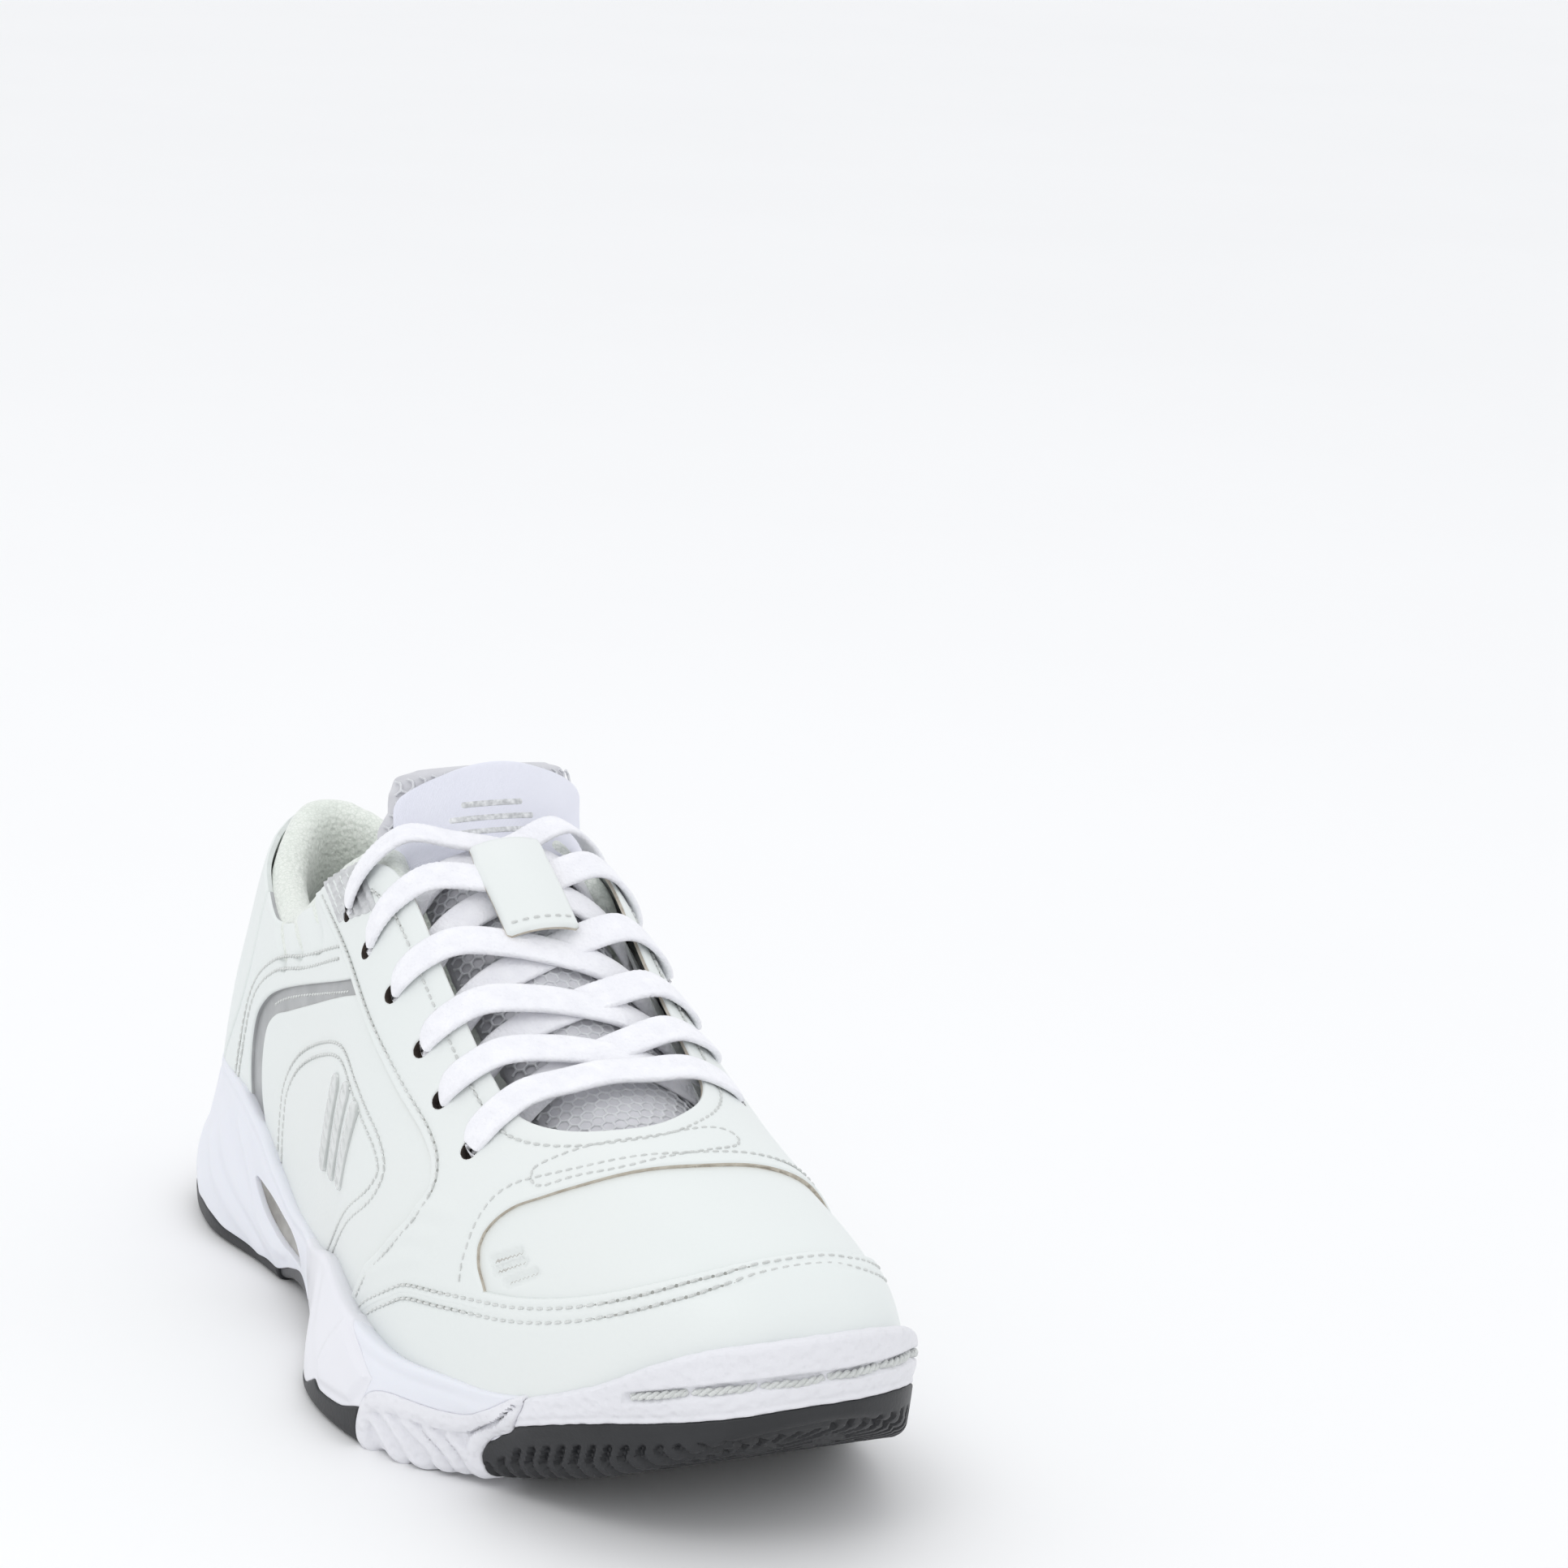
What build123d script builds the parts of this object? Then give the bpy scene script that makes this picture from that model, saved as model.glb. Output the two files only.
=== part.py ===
"""Court shoe for the left foot: cupsole, lasted leather upper, padded collar and tongue, flat lace.

Frame: +Z up, the ground at Z = 0, the toe towards -Y and the heel towards +Y, the outer
(lateral) side at -X. The origin is on the ground under the middle of the shoe's box.
Heights are above the ground. A station t is the distance from the back of the heel.
"""
from build123d import *
from functools import lru_cache
import math
import os

os.makedirs("parts", exist_ok=True)

# ---------------------------------------------------------------- driving dimensions (mm)
shoe_length = 289.0
half_length = shoe_length / 2
foot_axis_x = 4.9            # the outrigger makes the sole wider outside the foot's axis
reach = 130.0                # half width of the blocks that trim the panels

leather = 1.6                # upper leather
lining_depth = 3.0           # outer face of the lining, below the leather's face
lining_inner = 4.0
foam_inner = 7.0             # inner face of the collar foam
collar_skin = 8.0            # inner face of the collar lining
overlay = 0.9                # moulded overlays on the leather

outsole = 4.0                # rubber under the foot
board = 1.8                  # lasting board
sockliner_thickness = 4.5

eyelet_radius = 2.4
lace_width = 8.0
lace_thick = 1.5

# Upper envelope: station, lean, lateral and medial half width, crest x and z, feather z,
# and the powers of the side and of the top of its superelliptic section.
UPPER = [
    (3.0, 5.0, 7.0, 7.0, 0.0, 120.0, 30.0, 2.4, 2.0),
    (7.0, 5.0, 13.5, 13.5, 0.0, 120.0, 30.0, 2.4, 2.0),
    (16.0, 4.0, 22.5, 22.5, 0.0, 120.0, 30.0, 2.4, 2.0),
    (32.0, 3.0, 31.0, 30.5, 0.0, 120.5, 28.5, 2.4, 2.0),
    (60.0, 1.0, 34.3, 33.5, 0.0, 122.5, 25.5, 2.8, 2.3),
    (95.0, 0.0, 37.0, 35.0, 0.0, 126.0, 21.0, 3.6, 3.0),
    (130.0, 0.0, 43.5, 39.0, 0.0, 121.5, 18.6, 3.5, 2.9),
    (165.0, 0.0, 50.5, 43.5, -1.5, 103.0, 17.5, 2.9, 2.5),
    (200.0, 0.0, 52.5, 48.5, -2.0, 86.5, 17.0, 2.5, 2.2),
    (232.0, 0.0, 46.5, 48.0, 1.0, 76.0, 19.0, 2.4, 2.2),
    (256.0, 0.0, 36.5, 44.0, 5.0, 69.0, 24.0, 2.4, 2.2),
    (272.0, 0.0, 24.0, 36.5, 9.0, 62.0, 29.0, 2.4, 2.2),
    (281.0, 0.0, 12.0, 27.0, 10.0, 55.0, 33.0, 2.4, 2.2),
    (285.0, 0.0, -2.0, 20.0, 10.5, 48.0, 35.0, 2.4, 2.2),
]
SECTION_ANGLES = [0, 14, 32, 52, 72, 90, 108, 128, 148, 166, 180]

# Sole outline at its widest level: station, lateral and medial half width.
SOLE = [
    (4.0, 17.0, 17.0),
    (14.0, 29.5, 29.5),
    (42.0, 39.5, 39.5),
    (75.0, 38.0, 37.0),
    (103.0, 39.0, 36.0),
    (135.0, 48.5, 41.0),
    (160.0, 59.5, 45.0),
    (185.0, 61.5, 49.5),
    (207.0, 57.5, 51.5),
    (228.0, 46.0, 51.5),
    (252.0, 35.0, 46.0),
    (270.0, 23.5, 38.0),
    (282.0, 10.0, 28.0),
]
sole_tip = (288.0, 9.0)      # station and x of the toe's tip
# Rim of the cupsole, 3 mm outside the upper.
RIM = [
    (4.0, 12.5, 12.5),
    (14.0, 24.5, 24.5),
    (42.0, 35.5, 35.5),
    (75.0, 38.0, 37.0),
    (103.0, 40.5, 39.0),
    (135.0, 47.5, 42.5),
    (160.0, 52.5, 46.0),
    (185.0, 55.0, 50.0),
    (207.0, 54.5, 51.5),
    (228.0, 50.0, 51.5),
    (252.0, 41.0, 48.0),
    (270.0, 29.0, 41.0),
    (282.0, 15.0, 31.0),
]
rim_tip = (289.0, 10.0)

# Ground line of the sole in the side view: heel rocker, flats, raised shank, toe spring.
HEEL_ROCKER = [(-20, 6), (-2, 6), (10, 2.5), (28, 0)]
ARCH = [(84, 0), (95, 2.4), (108, 3.0), (121, 2.4), (131, 0)]
TOE_SPRING = [(206, 0), (225, 2.5), (245, 8), (262, 14), (275, 21), (289, 32), (300, 42)]
SIDEWALL = [(-20, 36), (-4, 38), (20, 41), (50, 41), (70, 36), (85, 29), (102, 23), (125, 24),
            (150, 29), (172, 26), (200, 24), (225, 25), (245, 28), (262, 35), (279, 46),
            (300, 56)]
COLLAR = [(-4, 102), (4, 101), (15, 100), (30, 95), (45, 89), (58, 86), (68, 87.5),
          (78, 92), (86, 98), (94, 104), (104, 110), (117, 116), (128, 119)]

# Panel edges in the side view (station, height).
TOE_CAP_EDGE = [(157, 8), (171, 24), (189, 35), (197, 39.5), (215, 42), (236, 45.5), (252, 50),
                (264, 55.5), (272, 61.5), (278, 72)]
EYESTAY_EDGE = [(84, 116), (90, 106), (98, 101), (127, 94), (154, 84), (171, 77), (186, 71),
                (194, 66), (197, 60), (195, 53), (185, 42), (175, 32), (164, 14)]
COLLAR_PANEL_EDGE = [(24, 50), (47, 56), (57, 69), (68, 75), (92, 83), (116, 92), (140, 96)]
FOXING_EDGE = [(28, 8), (28, 37), (36, 53), (43, 64), (46, 74), (44, 92), (40, 112)]
FOAM_EDGE = [(-10, 66), (20, 66), (45, 64), (70, 73), (95, 88), (108, 98)]
# Throat and toe window in plan (station, x from the foot's axis).
THROAT = [(60, -25), (100, -25.5), (130, -26.5), (167, -28), (190, -28.5), (206, -27.5),
          (217, -20), (222, -9), (221.5, 0), (215, 11), (205, 17.5), (190, 20), (167, 22.5),
          (130, 25), (100, 25.5), (60, 25)]
WINDOW = [(228, -56), (221, -47), (218, -41), (222, -33), (231, -20), (236, -2), (238, 12),
          (235, 27), (230, 38), (229, 45), (236, 56)]

EYELET_T = [201.0, 184.0, 170.0, 152.0, 134.0, 115.0]
MEDIAL_T = [201.0, 184.0, 170.0, 152.0, 135.0, 119.0]
EYELET_X_LATERAL = [-38.0, -38.0, -37.0, -37.0, -36.0, -33.0]
EYELET_X_MEDIAL = [29.0, 30.5, 32.0, 32.5, 32.0, 30.0]

tongue_depth = 8.0           # outer face of the tongue, below the leather's face
tongue_foam_thick = 5.5
tongue_skin = 1.0
fold_t, fold_z = 116.0, 116.2         # fold line of the tongue's free end
fold_angle = 43.0                     # rise of the tongue there, degrees


def y_at(t):
    """Y of a station."""
    return half_length - t


def side(t, z):
    """A point of the side view, in Plane.YZ."""
    return (y_at(t), z)


def plan(t, x):
    """A point of the plan view, x from the foot's axis."""
    return (foot_axis_x + x, y_at(t))


def section_plane(t, lean, height):
    """An upright plane across the shoe, leaning towards the toe above the feather line."""
    angle = math.radians(lean)
    return Plane(
        origin=(foot_axis_x, y_at(t) + height * math.tan(angle), 0),
        x_dir=(1, 0, 0),
        z_dir=(0, -math.cos(angle), -math.sin(angle)),
    )


# ---------------------------------------------------------------- envelopes of upper and sole
@lru_cache(maxsize=None)
def upper_envelope(inset):
    """Solid inside the upper's outer face, moved inwards by inset."""
    middle = shoe_length / 2
    shrink = 1 - inset / middle
    floor_drop = 0.0 if inset <= 0 else 4.0
    with BuildPart() as body:
        for t, lean, lateral, medial, crest_x, crest_z, feather_z, side_power, top_power in UPPER:
            base_z = feather_z - floor_drop
            left = crest_x + max(lateral - inset, 1.5 - crest_x)
            right = max(medial - inset, crest_x + 1.5) - crest_x
            height = crest_z - inset - base_z
            points = []
            for angle in SECTION_ANGLES:
                c = math.cos(math.radians(angle))
                s = math.sin(math.radians(angle))
                half = left if c > 0 else right
                x = crest_x - math.copysign(half * abs(c) ** (2 / side_power), c)
                points.append((x, base_z + height * abs(s) ** (2 / top_power)))
            with BuildSketch(section_plane(middle + (t - middle) * shrink, lean, feather_z)):
                with BuildLine():
                    Spline(*points, tangents=[(0, 1), (0, -1)])
                    Line(points[-1], points[0])
                make_face()
        loft()
    return body.part


def outline_points(table, tip, heel_t, inset):
    """Closed outline round a sole level: lateral side, toe tip, medial side, heel."""
    lateral = [plan(t, -(w - inset)) for t, w, _ in table]
    medial = [plan(t, w - inset) for t, _, w in reversed(table)]
    return lateral + [plan(tip[0] - inset, tip[1])] + medial + [plan(heel_t + inset, 0)]


@lru_cache(maxsize=None)
def sole_envelope(inset):
    """Solid of the sole's side faces: a slight tuck at the ground, then in to the rim."""
    levels = [
        (-8.0, SOLE, sole_tip, 3.0, 3.0),
        (9.0, SOLE, sole_tip, 0.0, 0.0),
        (32.0, RIM, rim_tip, 1.0, 0.0),
        (60.0, RIM, rim_tip, 3.0, 1.0),
    ]
    with BuildPart() as body:
        for z, table, tip, heel_t, tuck in levels:
            with BuildSketch(Plane.XY.offset(z)):
                with BuildLine():
                    Spline(*outline_points(table, tip, heel_t, inset + tuck), periodic=True)
                make_face()
        loft()
    return body.part


def side_block(curve, closing, x_from=-reach, x_to=reach):
    """Block along X; its side view is a smooth curve closed by straight lines."""
    with BuildPart() as block:
        with BuildSketch(Plane.YZ.offset(x_from)):
            with BuildLine():
                Spline(*[side(*p) for p in curve])
                Polyline(*[side(*p) for p in [curve[-1], *closing, curve[0]]])
            make_face()
        extrude(amount=x_to - x_from)
    return block.part


def plan_block(curve, closing, z_from=-10.0, z_to=160.0):
    """Block along Z; its plan is a smooth curve closed by straight lines."""
    with BuildPart() as block:
        with BuildSketch(Plane.XY.offset(z_from)):
            with BuildLine():
                Spline(*[plan(*p) for p in curve])
                Polyline(*[plan(*p) for p in [curve[-1], *closing, curve[0]]])
            make_face()
        extrude(amount=z_to - z_from)
    return block.part


def half_space(sign):
    """Everything on the lateral (-1) or medial (+1) side of the foot's axis."""
    with BuildPart() as block:
        with BuildSketch(Plane.XY.offset(-10)):
            with Locations((foot_axis_x + sign * reach / 2, 0)):
                Rectangle(reach, 2 * shoe_length)
        extrude(amount=200)
    return block.part


def station_slice(t_from, t_to):
    """Everything between two stations."""
    with BuildPart() as block:
        with BuildSketch(Plane.XY.offset(-10)):
            with Locations((0, y_at((t_from + t_to) / 2))):
                Rectangle(2 * reach, t_to - t_from)
        extrude(amount=200)
    return block.part


finished = {}


def finish_node(name, part):
    """Label a sub-part, keep it by name, write its STEP and print its volume."""
    part.label = name
    finished[name] = part
    export_step(part, f"parts/{name}.step")
    print(f"{name:26s} solids {len(part.solids()):2d}  volume {part.volume / 1000:9.2f} cm3")


lateral_half = half_space(-1)
medial_half = half_space(1)


def ground_edges(lift):
    """The ground line raised by lift, from behind the heel to past the toe."""
    heel, arch, toe = [[side(t, z + lift) for t, z in part]
                       for part in (HEEL_ROCKER, ARCH, TOE_SPRING)]
    edges = [
        Spline(*heel, tangents=[(-1, 0), (-1, 0)]),
        Line(heel[-1], arch[0]),
        Spline(*arch, tangents=[(-1, 0), (-1, 0)]),
        Line(arch[-1], toe[0]),
        Spline(*toe, tangents=[(-1, 0), (-1, 1)]),
    ]
    return edges


def rubber_band():
    """Side-view band of the rubber: an even layer over the ground line."""
    with BuildPart() as block:
        with BuildSketch(Plane.YZ.offset(-reach)):
            with BuildLine():
                low = ground_edges(0.0)
                high = ground_edges(outsole)
                Line(low[0] @ 0, high[0] @ 0)
                Line(low[-1] @ 1, high[-1] @ 1)
            make_face()
        extrude(amount=2 * reach)
    return block.part


def sole_band(lift, top_curve):
    """Side-view band from the ground line raised by lift up to a top curve."""
    top = [side(t, z) for t, z in top_curve]
    with BuildPart() as block:
        with BuildSketch(Plane.YZ.offset(-reach)):
            with BuildLine():
                low = ground_edges(lift)
                Spline(*top)
                Line(low[0] @ 0, top[0])
                Line(low[-1] @ 1, top[-1])
            make_face()
        extrude(amount=2 * reach)
    return block.part


def upper_layer(outer, inner):
    """The skin of the upper between two depths, from the feather line up."""
    with BuildPart() as layer:
        add(upper_envelope(outer))
        add(upper_envelope(inner), mode=Mode.SUBTRACT)
        if outer > 0:
            add(above_feather, mode=Mode.INTERSECT)
    return layer.part


def feather_band(low, high):
    """Side-view band over the feather line."""
    line = [(-20, 30), (16, 30)] + [(row[0], row[6]) for row in UPPER[3:]] + [(300, 38)]
    with BuildPart() as block:
        with BuildSketch(Plane.YZ.offset(-reach)):
            with BuildLine():
                bottom = [side(t, z + low) for t, z in line]
                top = [side(t, z + high) for t, z in line]
                Spline(*bottom)
                Line(bottom[-1], top[-1])
                Spline(*reversed(top))
                Line(top[0], bottom[0])
            make_face()
        extrude(amount=2 * reach)
    return block.part


def trimmed(base, keep=(), drop=()):
    """A piece of a layer: inside every block of keep and outside every block of drop."""
    with BuildPart() as piece:
        add(base)
        for block in keep:
            add(block, mode=Mode.INTERSECT)
        for block in drop:
            add(block, mode=Mode.SUBTRACT)
    return piece.part


def mouth(lift):
    """Everything over the collar's top line, raised by lift."""
    line = [(t, z + lift) for t, z in COLLAR]
    return side_block(line, [(128, 175), (-30, 175), (-30, line[0][1])])


above_feather = feather_band(0.0, 160.0)

# ---------------------------------------------------------------- sole unit
forefoot_start = 131.0
heel_end = 86.0

over_rubber = sole_band(outsole, SIDEWALL)
full_sole = trimmed(sole_envelope(0.0), keep=[over_rubber], drop=[upper_envelope(0.0)])
rubber = trimmed(sole_envelope(1.0), keep=[rubber_band()])

outrigger_plan = plan_block([(168, -80), (171, -56), (186, -49), (212, -44), (234, -39), (241, -60)],
                            [(241, -80)])
outrigger_band = sole_band(0.0, [(-20, 19), (140, 19), (200, 20), (240, 22), (300, 44)])
outrigger_block = trimmed(outrigger_plan, keep=[outrigger_band])
stabiliser_block = plan_block([(116, -80), (119, -42), (140, -46), (166, -53), (168, -80)],
                              [(160, -90)], 3.0, 27.0)
bumper_block = plan_block([(238, -80), (243, -34), (258, -10), (264, 10), (258, 28), (240, 42),
                           (232, 80)], [(320, 80), (320, -80)])

finish_node("outsole_heel", trimmed(rubber, keep=[station_slice(-10, heel_end)]))
finish_node("outsole_forefoot", trimmed(rubber, keep=[station_slice(forefoot_start, 300)],
                                        drop=[outrigger_block]))
finish_node("shank_plate", trimmed(rubber, keep=[station_slice(heel_end, forefoot_start)]))
outrigger = trimmed(sole_envelope(0.0), keep=[outrigger_block], drop=[upper_envelope(0.0)])
finish_node("lateral_outrigger", outrigger)
stabiliser = trimmed(full_sole, keep=[stabiliser_block], drop=[outrigger_block])
finish_node("lateral_stabiliser", stabiliser)
bumper_wall = 4.0
bumper_zone = trimmed(bumper_block, drop=[sole_envelope(bumper_wall)])
bumper = trimmed(full_sole, keep=[bumper_zone], drop=[outrigger_block])
BUMPER_SEAM = [(240, 20), (258, 27), (272, 34), (282, 40), (292, 43)]
seam_height = 1.6
seam_block = side_block(BUMPER_SEAM, [(t, z + seam_height) for t, z in reversed(BUMPER_SEAM)])
seam_zone = trimmed(seam_block, keep=[station_slice(262, 300)], drop=[sole_envelope(0.8)])
finish_node("toe_bumper", trimmed(bumper, drop=[seam_zone]))
finish_node("toe_bumper_thread", trimmed(sole_envelope(-0.5), keep=[seam_zone]))

window_wall = 3.0
window_leaf = side_block([(72, 25), (80, 19), (92, 13), (106, 12.5), (112, 14)],
                         [(104, 21), (90, 26), (80, 28)])
window_zone = trimmed(window_leaf, drop=[sole_envelope(window_wall)])
windows = trimmed(full_sole, keep=[window_zone])
finish_node("lateral_heel_window", trimmed(windows, keep=[lateral_half]))
finish_node("medial_heel_window", trimmed(windows, keep=[medial_half]))
finish_node("midsole", trimmed(full_sole, drop=[outrigger_block, stabiliser_block, bumper_zone,
                                                window_zone]))

# ---------------------------------------------------------------- inside the upper
finish_node("lasting_board", trimmed(upper_envelope(lining_inner + 0.1),
                                     keep=[feather_band(0.05, board)]))
sockliner_block = trimmed(station_slice(9, 278), keep=[feather_band(board, board + sockliner_thickness)])
finish_node("sockliner", trimmed(upper_envelope(lining_inner + 0.5), keep=[sockliner_block]))

throat_block = plan_block(THROAT, [], 55.0, 160.0)
mouth_block = mouth(0.0)
foam_mouth = mouth(3.5)
foam_block = side_block(FOAM_EDGE, [(108.3, 112), (104, 140), (-30, 140), (-30, 66)])
front_block = side_block(TOE_CAP_EDGE, [(320, 72), (320, 0), (157, 0)])
behind_eyestay = side_block(EYESTAY_EDGE, [(164, 0), (-30, 0), (-30, 116)])
collar_panel_block = side_block(COLLAR_PANEL_EDGE, [(140, 150), (-30, 150), (-30, 50)])
foxing_block = side_block(FOXING_EDGE, [(-30, 112), (-30, 8)])
window_block = plan_block(WINDOW, [(320, 56), (320, -56)], 20.0, 160.0)

leather_layer = trimmed(upper_layer(0.0, leather), drop=[throat_block, mouth_block])
stiffener_layer = upper_layer(leather, lining_depth)
lining_layer = trimmed(upper_layer(lining_depth, lining_inner), drop=[throat_block, mouth_block])

# ---------------------------------------------------------------- leather panels
foxing = trimmed(leather_layer, keep=[foxing_block], drop=[front_block])
finish_node("heel_foxing", foxing)
quarter_layer = trimmed(leather_layer, keep=[behind_eyestay], drop=[foxing_block])
collar_panels = trimmed(quarter_layer, keep=[collar_panel_block])
quarters = trimmed(quarter_layer, drop=[collar_panel_block, front_block])
finish_node("toe_cap", trimmed(leather_layer, keep=[front_block]))
front_layer = trimmed(leather_layer, drop=[front_block, behind_eyestay])
finish_node("vamp_window_panel", trimmed(front_layer, keep=[window_block]))
eyestay_layer = trimmed(front_layer, drop=[window_block])
saddle_slice = station_slice(207, 300)
finish_node("vamp_saddle", trimmed(eyestay_layer, keep=[saddle_slice]))
eyestays = trimmed(eyestay_layer, drop=[saddle_slice])

stripe_layer = upper_layer(-overlay, 0.0)
STRIPE_TOP = [(128, 91), (73, 72), (60, 65.5), (54, 58), (54, 49), (57, 38), (64, 30), (70, 22)]
STRIPE_LOW = [(76, 24), (70, 34), (64, 44), (63, 54), (67, 61), (74, 66), (132, 86)]
stripe_block = side_block(STRIPE_TOP, STRIPE_LOW)
stripes = trimmed(stripe_layer, keep=[stripe_block], drop=[full_sole])
patch_block = side_block([(91, 104), (100, 100.5), (114, 99), (125, 101)],
                         [(130, 108), (108, 116), (93, 108)])
patches = trimmed(stripe_layer, keep=[patch_block], drop=[mouth_block, throat_block])
heel_tab_block = trimmed(station_slice(-20, 13),
                         keep=[side_block([(-20, 74), (13, 74), (30, 74)], [(30, 97), (-20, 97)])])
finish_node("heel_tab", trimmed(stripe_layer, keep=[heel_tab_block]))
BADGE_BARS = [(122, 63), (130, 59), (138, 55)]
badge_half_length, badge_half_width = 9.0, 2.6
with BuildPart() as badge_bars:
    with BuildSketch(Plane.YZ.offset(-reach)):
        with Locations(*[side(t, z - 5) for t, z in BADGE_BARS]):
            SlotOverall(2 * badge_half_length, 2 * badge_half_width, rotation=62)
    extrude(amount=reach)
finish_node("lateral_badge", trimmed(stripe_layer, keep=[badge_bars.part, lateral_half]))


def eyelet_plane(t, x):
    """Plane on the upper at an eyelet, its z axis out of the leather."""
    out = math.radians(47 if x < 0 else 45)
    forward = math.radians(25)
    return Plane(
        origin=(foot_axis_x + x, y_at(t), envelope_height(t, x)),
        z_dir=(math.copysign(math.sin(out), x), -math.cos(out) * math.sin(forward),
               math.cos(out) * math.cos(forward)),
    )


def envelope_row(t):
    """The upper's section values at a station, between the rows of the table."""
    for low, high in zip(UPPER, UPPER[1:]):
        if low[0] <= t <= high[0]:
            f = (t - low[0]) / (high[0] - low[0])
            return [a + f * (b - a) for a, b in zip(low, high)]
    return list(UPPER[-1])


def envelope_height(t, x):
    """Height of the upper's outer face over a point of the plan."""
    _, _, lateral, medial, crest_x, crest_z, feather_z, side_power, top_power = envelope_row(t)
    half = lateral + crest_x if x < crest_x else medial - crest_x
    across = min(abs(x - crest_x) / half, 1.0)
    return feather_z + (crest_z - feather_z) * (1 - across ** side_power) ** (1 / top_power)


def eyelet_holes(eyelets):
    """Round punches through the upper at a row of eyelets."""
    with BuildPart() as punches:
        for t, x in eyelets:
            with Locations(eyelet_plane(t, x)):
                Cylinder(eyelet_radius, 18)
    return punches.part


lateral_eyelets = list(zip(EYELET_T, EYELET_X_LATERAL))
medial_eyelets = list(zip(MEDIAL_T, EYELET_X_MEDIAL))
holes = {"lateral": eyelet_holes(lateral_eyelets), "medial": eyelet_holes(medial_eyelets)}
backing_block = plan_block([(212, -36), (204, -44), (180, -46), (150, -46), (112, -43)],
                           [(112, 44), (212, 44)], 40.0, 160.0)
backings = trimmed(stiffener_layer, keep=[backing_block, station_slice(112, 210)],
                   drop=[throat_block, foam_block, mouth_block])
for name, half in (("lateral", lateral_half), ("medial", medial_half)):
    finish_node(f"{name}_quarter", trimmed(quarters, keep=[half]))
    finish_node(f"{name}_collar_panel", trimmed(collar_panels, keep=[half]))
    finish_node(f"{name}_eyestay", trimmed(eyestays, keep=[half], drop=[holes[name]]))
    finish_node(f"{name}_eyestay_backing", trimmed(backings, keep=[half], drop=[holes[name]]))
    finish_node(f"{name}_stripe", trimmed(stripes, keep=[half]))
    finish_node(f"{name}_eyelet_patch", trimmed(patches, keep=[half], drop=[holes[name]]))

# ---------------------------------------------------------------- stiffeners, padding, lining
counter_block = side_block([(-20, 68), (20, 68), (50, 62), (70, 48), (78, 20)],
                           [(78, 0), (-20, 0)])
finish_node("heel_counter", trimmed(stiffener_layer, keep=[counter_block], drop=[foam_block]))
finish_node("toe_puff", trimmed(stiffener_layer, keep=[station_slice(238, 300)]))
foam_layer = upper_layer(leather, foam_inner)
finish_node("collar_foam", trimmed(foam_layer, keep=[foam_block], drop=[foam_mouth, throat_block]))
collar_lining_layer = upper_layer(foam_inner, collar_skin)
finish_node("collar_lining", trimmed(collar_lining_layer, keep=[foam_block],
                                     drop=[foam_mouth, throat_block]))
lining_split = 130.0
all_holes = [holes["lateral"], holes["medial"]]
finish_node("quarter_lining", trimmed(lining_layer, keep=[station_slice(-10, lining_split)],
                                      drop=[foam_block, *all_holes]))
finish_node("vamp_lining", trimmed(lining_layer, keep=[station_slice(lining_split, 300)],
                                   drop=all_holes))

# ---------------------------------------------------------------- tongue
fold = math.radians(fold_angle)
tongue_plan = plan_block([(228, -20), (215, -24), (190, -27), (150, -27), (90, -25)],
                         [(90, 24), (150, 25), (190, 25), (215, 20), (228, 17)], 40.0, 170.0)
fold_reach = 60.0


def behind_fold(shift):
    """Everything in front of the fold's cut plane, moved along the tongue by shift."""
    t0 = fold_t + shift * math.cos(fold)
    z0 = fold_z - shift * math.sin(fold)
    up = (t0 + fold_reach * math.sin(fold), z0 + fold_reach * math.cos(fold))
    down = (t0 - fold_reach * math.sin(fold), z0 - fold_reach * math.cos(fold))
    with BuildPart() as block:
        with BuildSketch(Plane.YZ.offset(-reach)):
            Polygon(side(*up), side(*down), side(250, -20), side(250, 170), align=None)
        extrude(amount=2 * reach)
    return block.part


lower_tongue = [tongue_plan, behind_fold(0.2), station_slice(90, 229)]
lining_start = tongue_depth + tongue_skin + tongue_foam_thick
finish_node("tongue_face", trimmed(upper_layer(tongue_depth, tongue_depth + tongue_skin),
                                   keep=lower_tongue))
finish_node("tongue_foam", trimmed(upper_layer(tongue_depth + tongue_skin, lining_start),
                                   keep=lower_tongue))
finish_node("tongue_lining", trimmed(upper_layer(lining_start, lining_start + tongue_skin),
                                     keep=lower_tongue))

# The free end: distance from the fold, rise, half width, sag of the edges.
TONGUE_END = [(0.4, 43, 22.0, 5.0), (7, 55, 23.5, 6.0), (14, 60, 28.5, 7.0), (20, 62, 27.5, 6.5),
              (24, 63, 23.0, 5.0)]


def tongue_end_planes():
    """Planes across the free end, along a line that steepens from the fold."""
    planes = []
    t, z, last = fold_t, fold_z, 0.0
    for distance, rise, half_width, sag in TONGUE_END:
        angle = math.radians(rise)
        t -= (distance - last) * math.cos(angle)
        z += (distance - last) * math.sin(angle)
        last = distance
        plane = Plane(origin=(foot_axis_x, y_at(t), z), x_dir=(1, 0, 0),
                      z_dir=(0, math.cos(angle), math.sin(angle)))
        planes.append((plane, half_width, sag))
    return planes


def crescent_loft(planes, outer, inner, narrower):
    """Padded strip between two depths below the tongue's outer face."""
    with BuildPart() as strip:
        for plane, half_width, sag in planes:
            w = half_width - narrower
            with BuildSketch(plane):
                with BuildLine():
                    face = ThreePointArc((-w, sag + outer), (0, outer), (w, sag + outer))
                    back = ThreePointArc((-w, sag + inner), (0, inner), (w, sag + inner))
                    Line(face @ 0, back @ 0)
                    Line(face @ 1, back @ 1)
                make_face()
        loft()
    return strip.part


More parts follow.
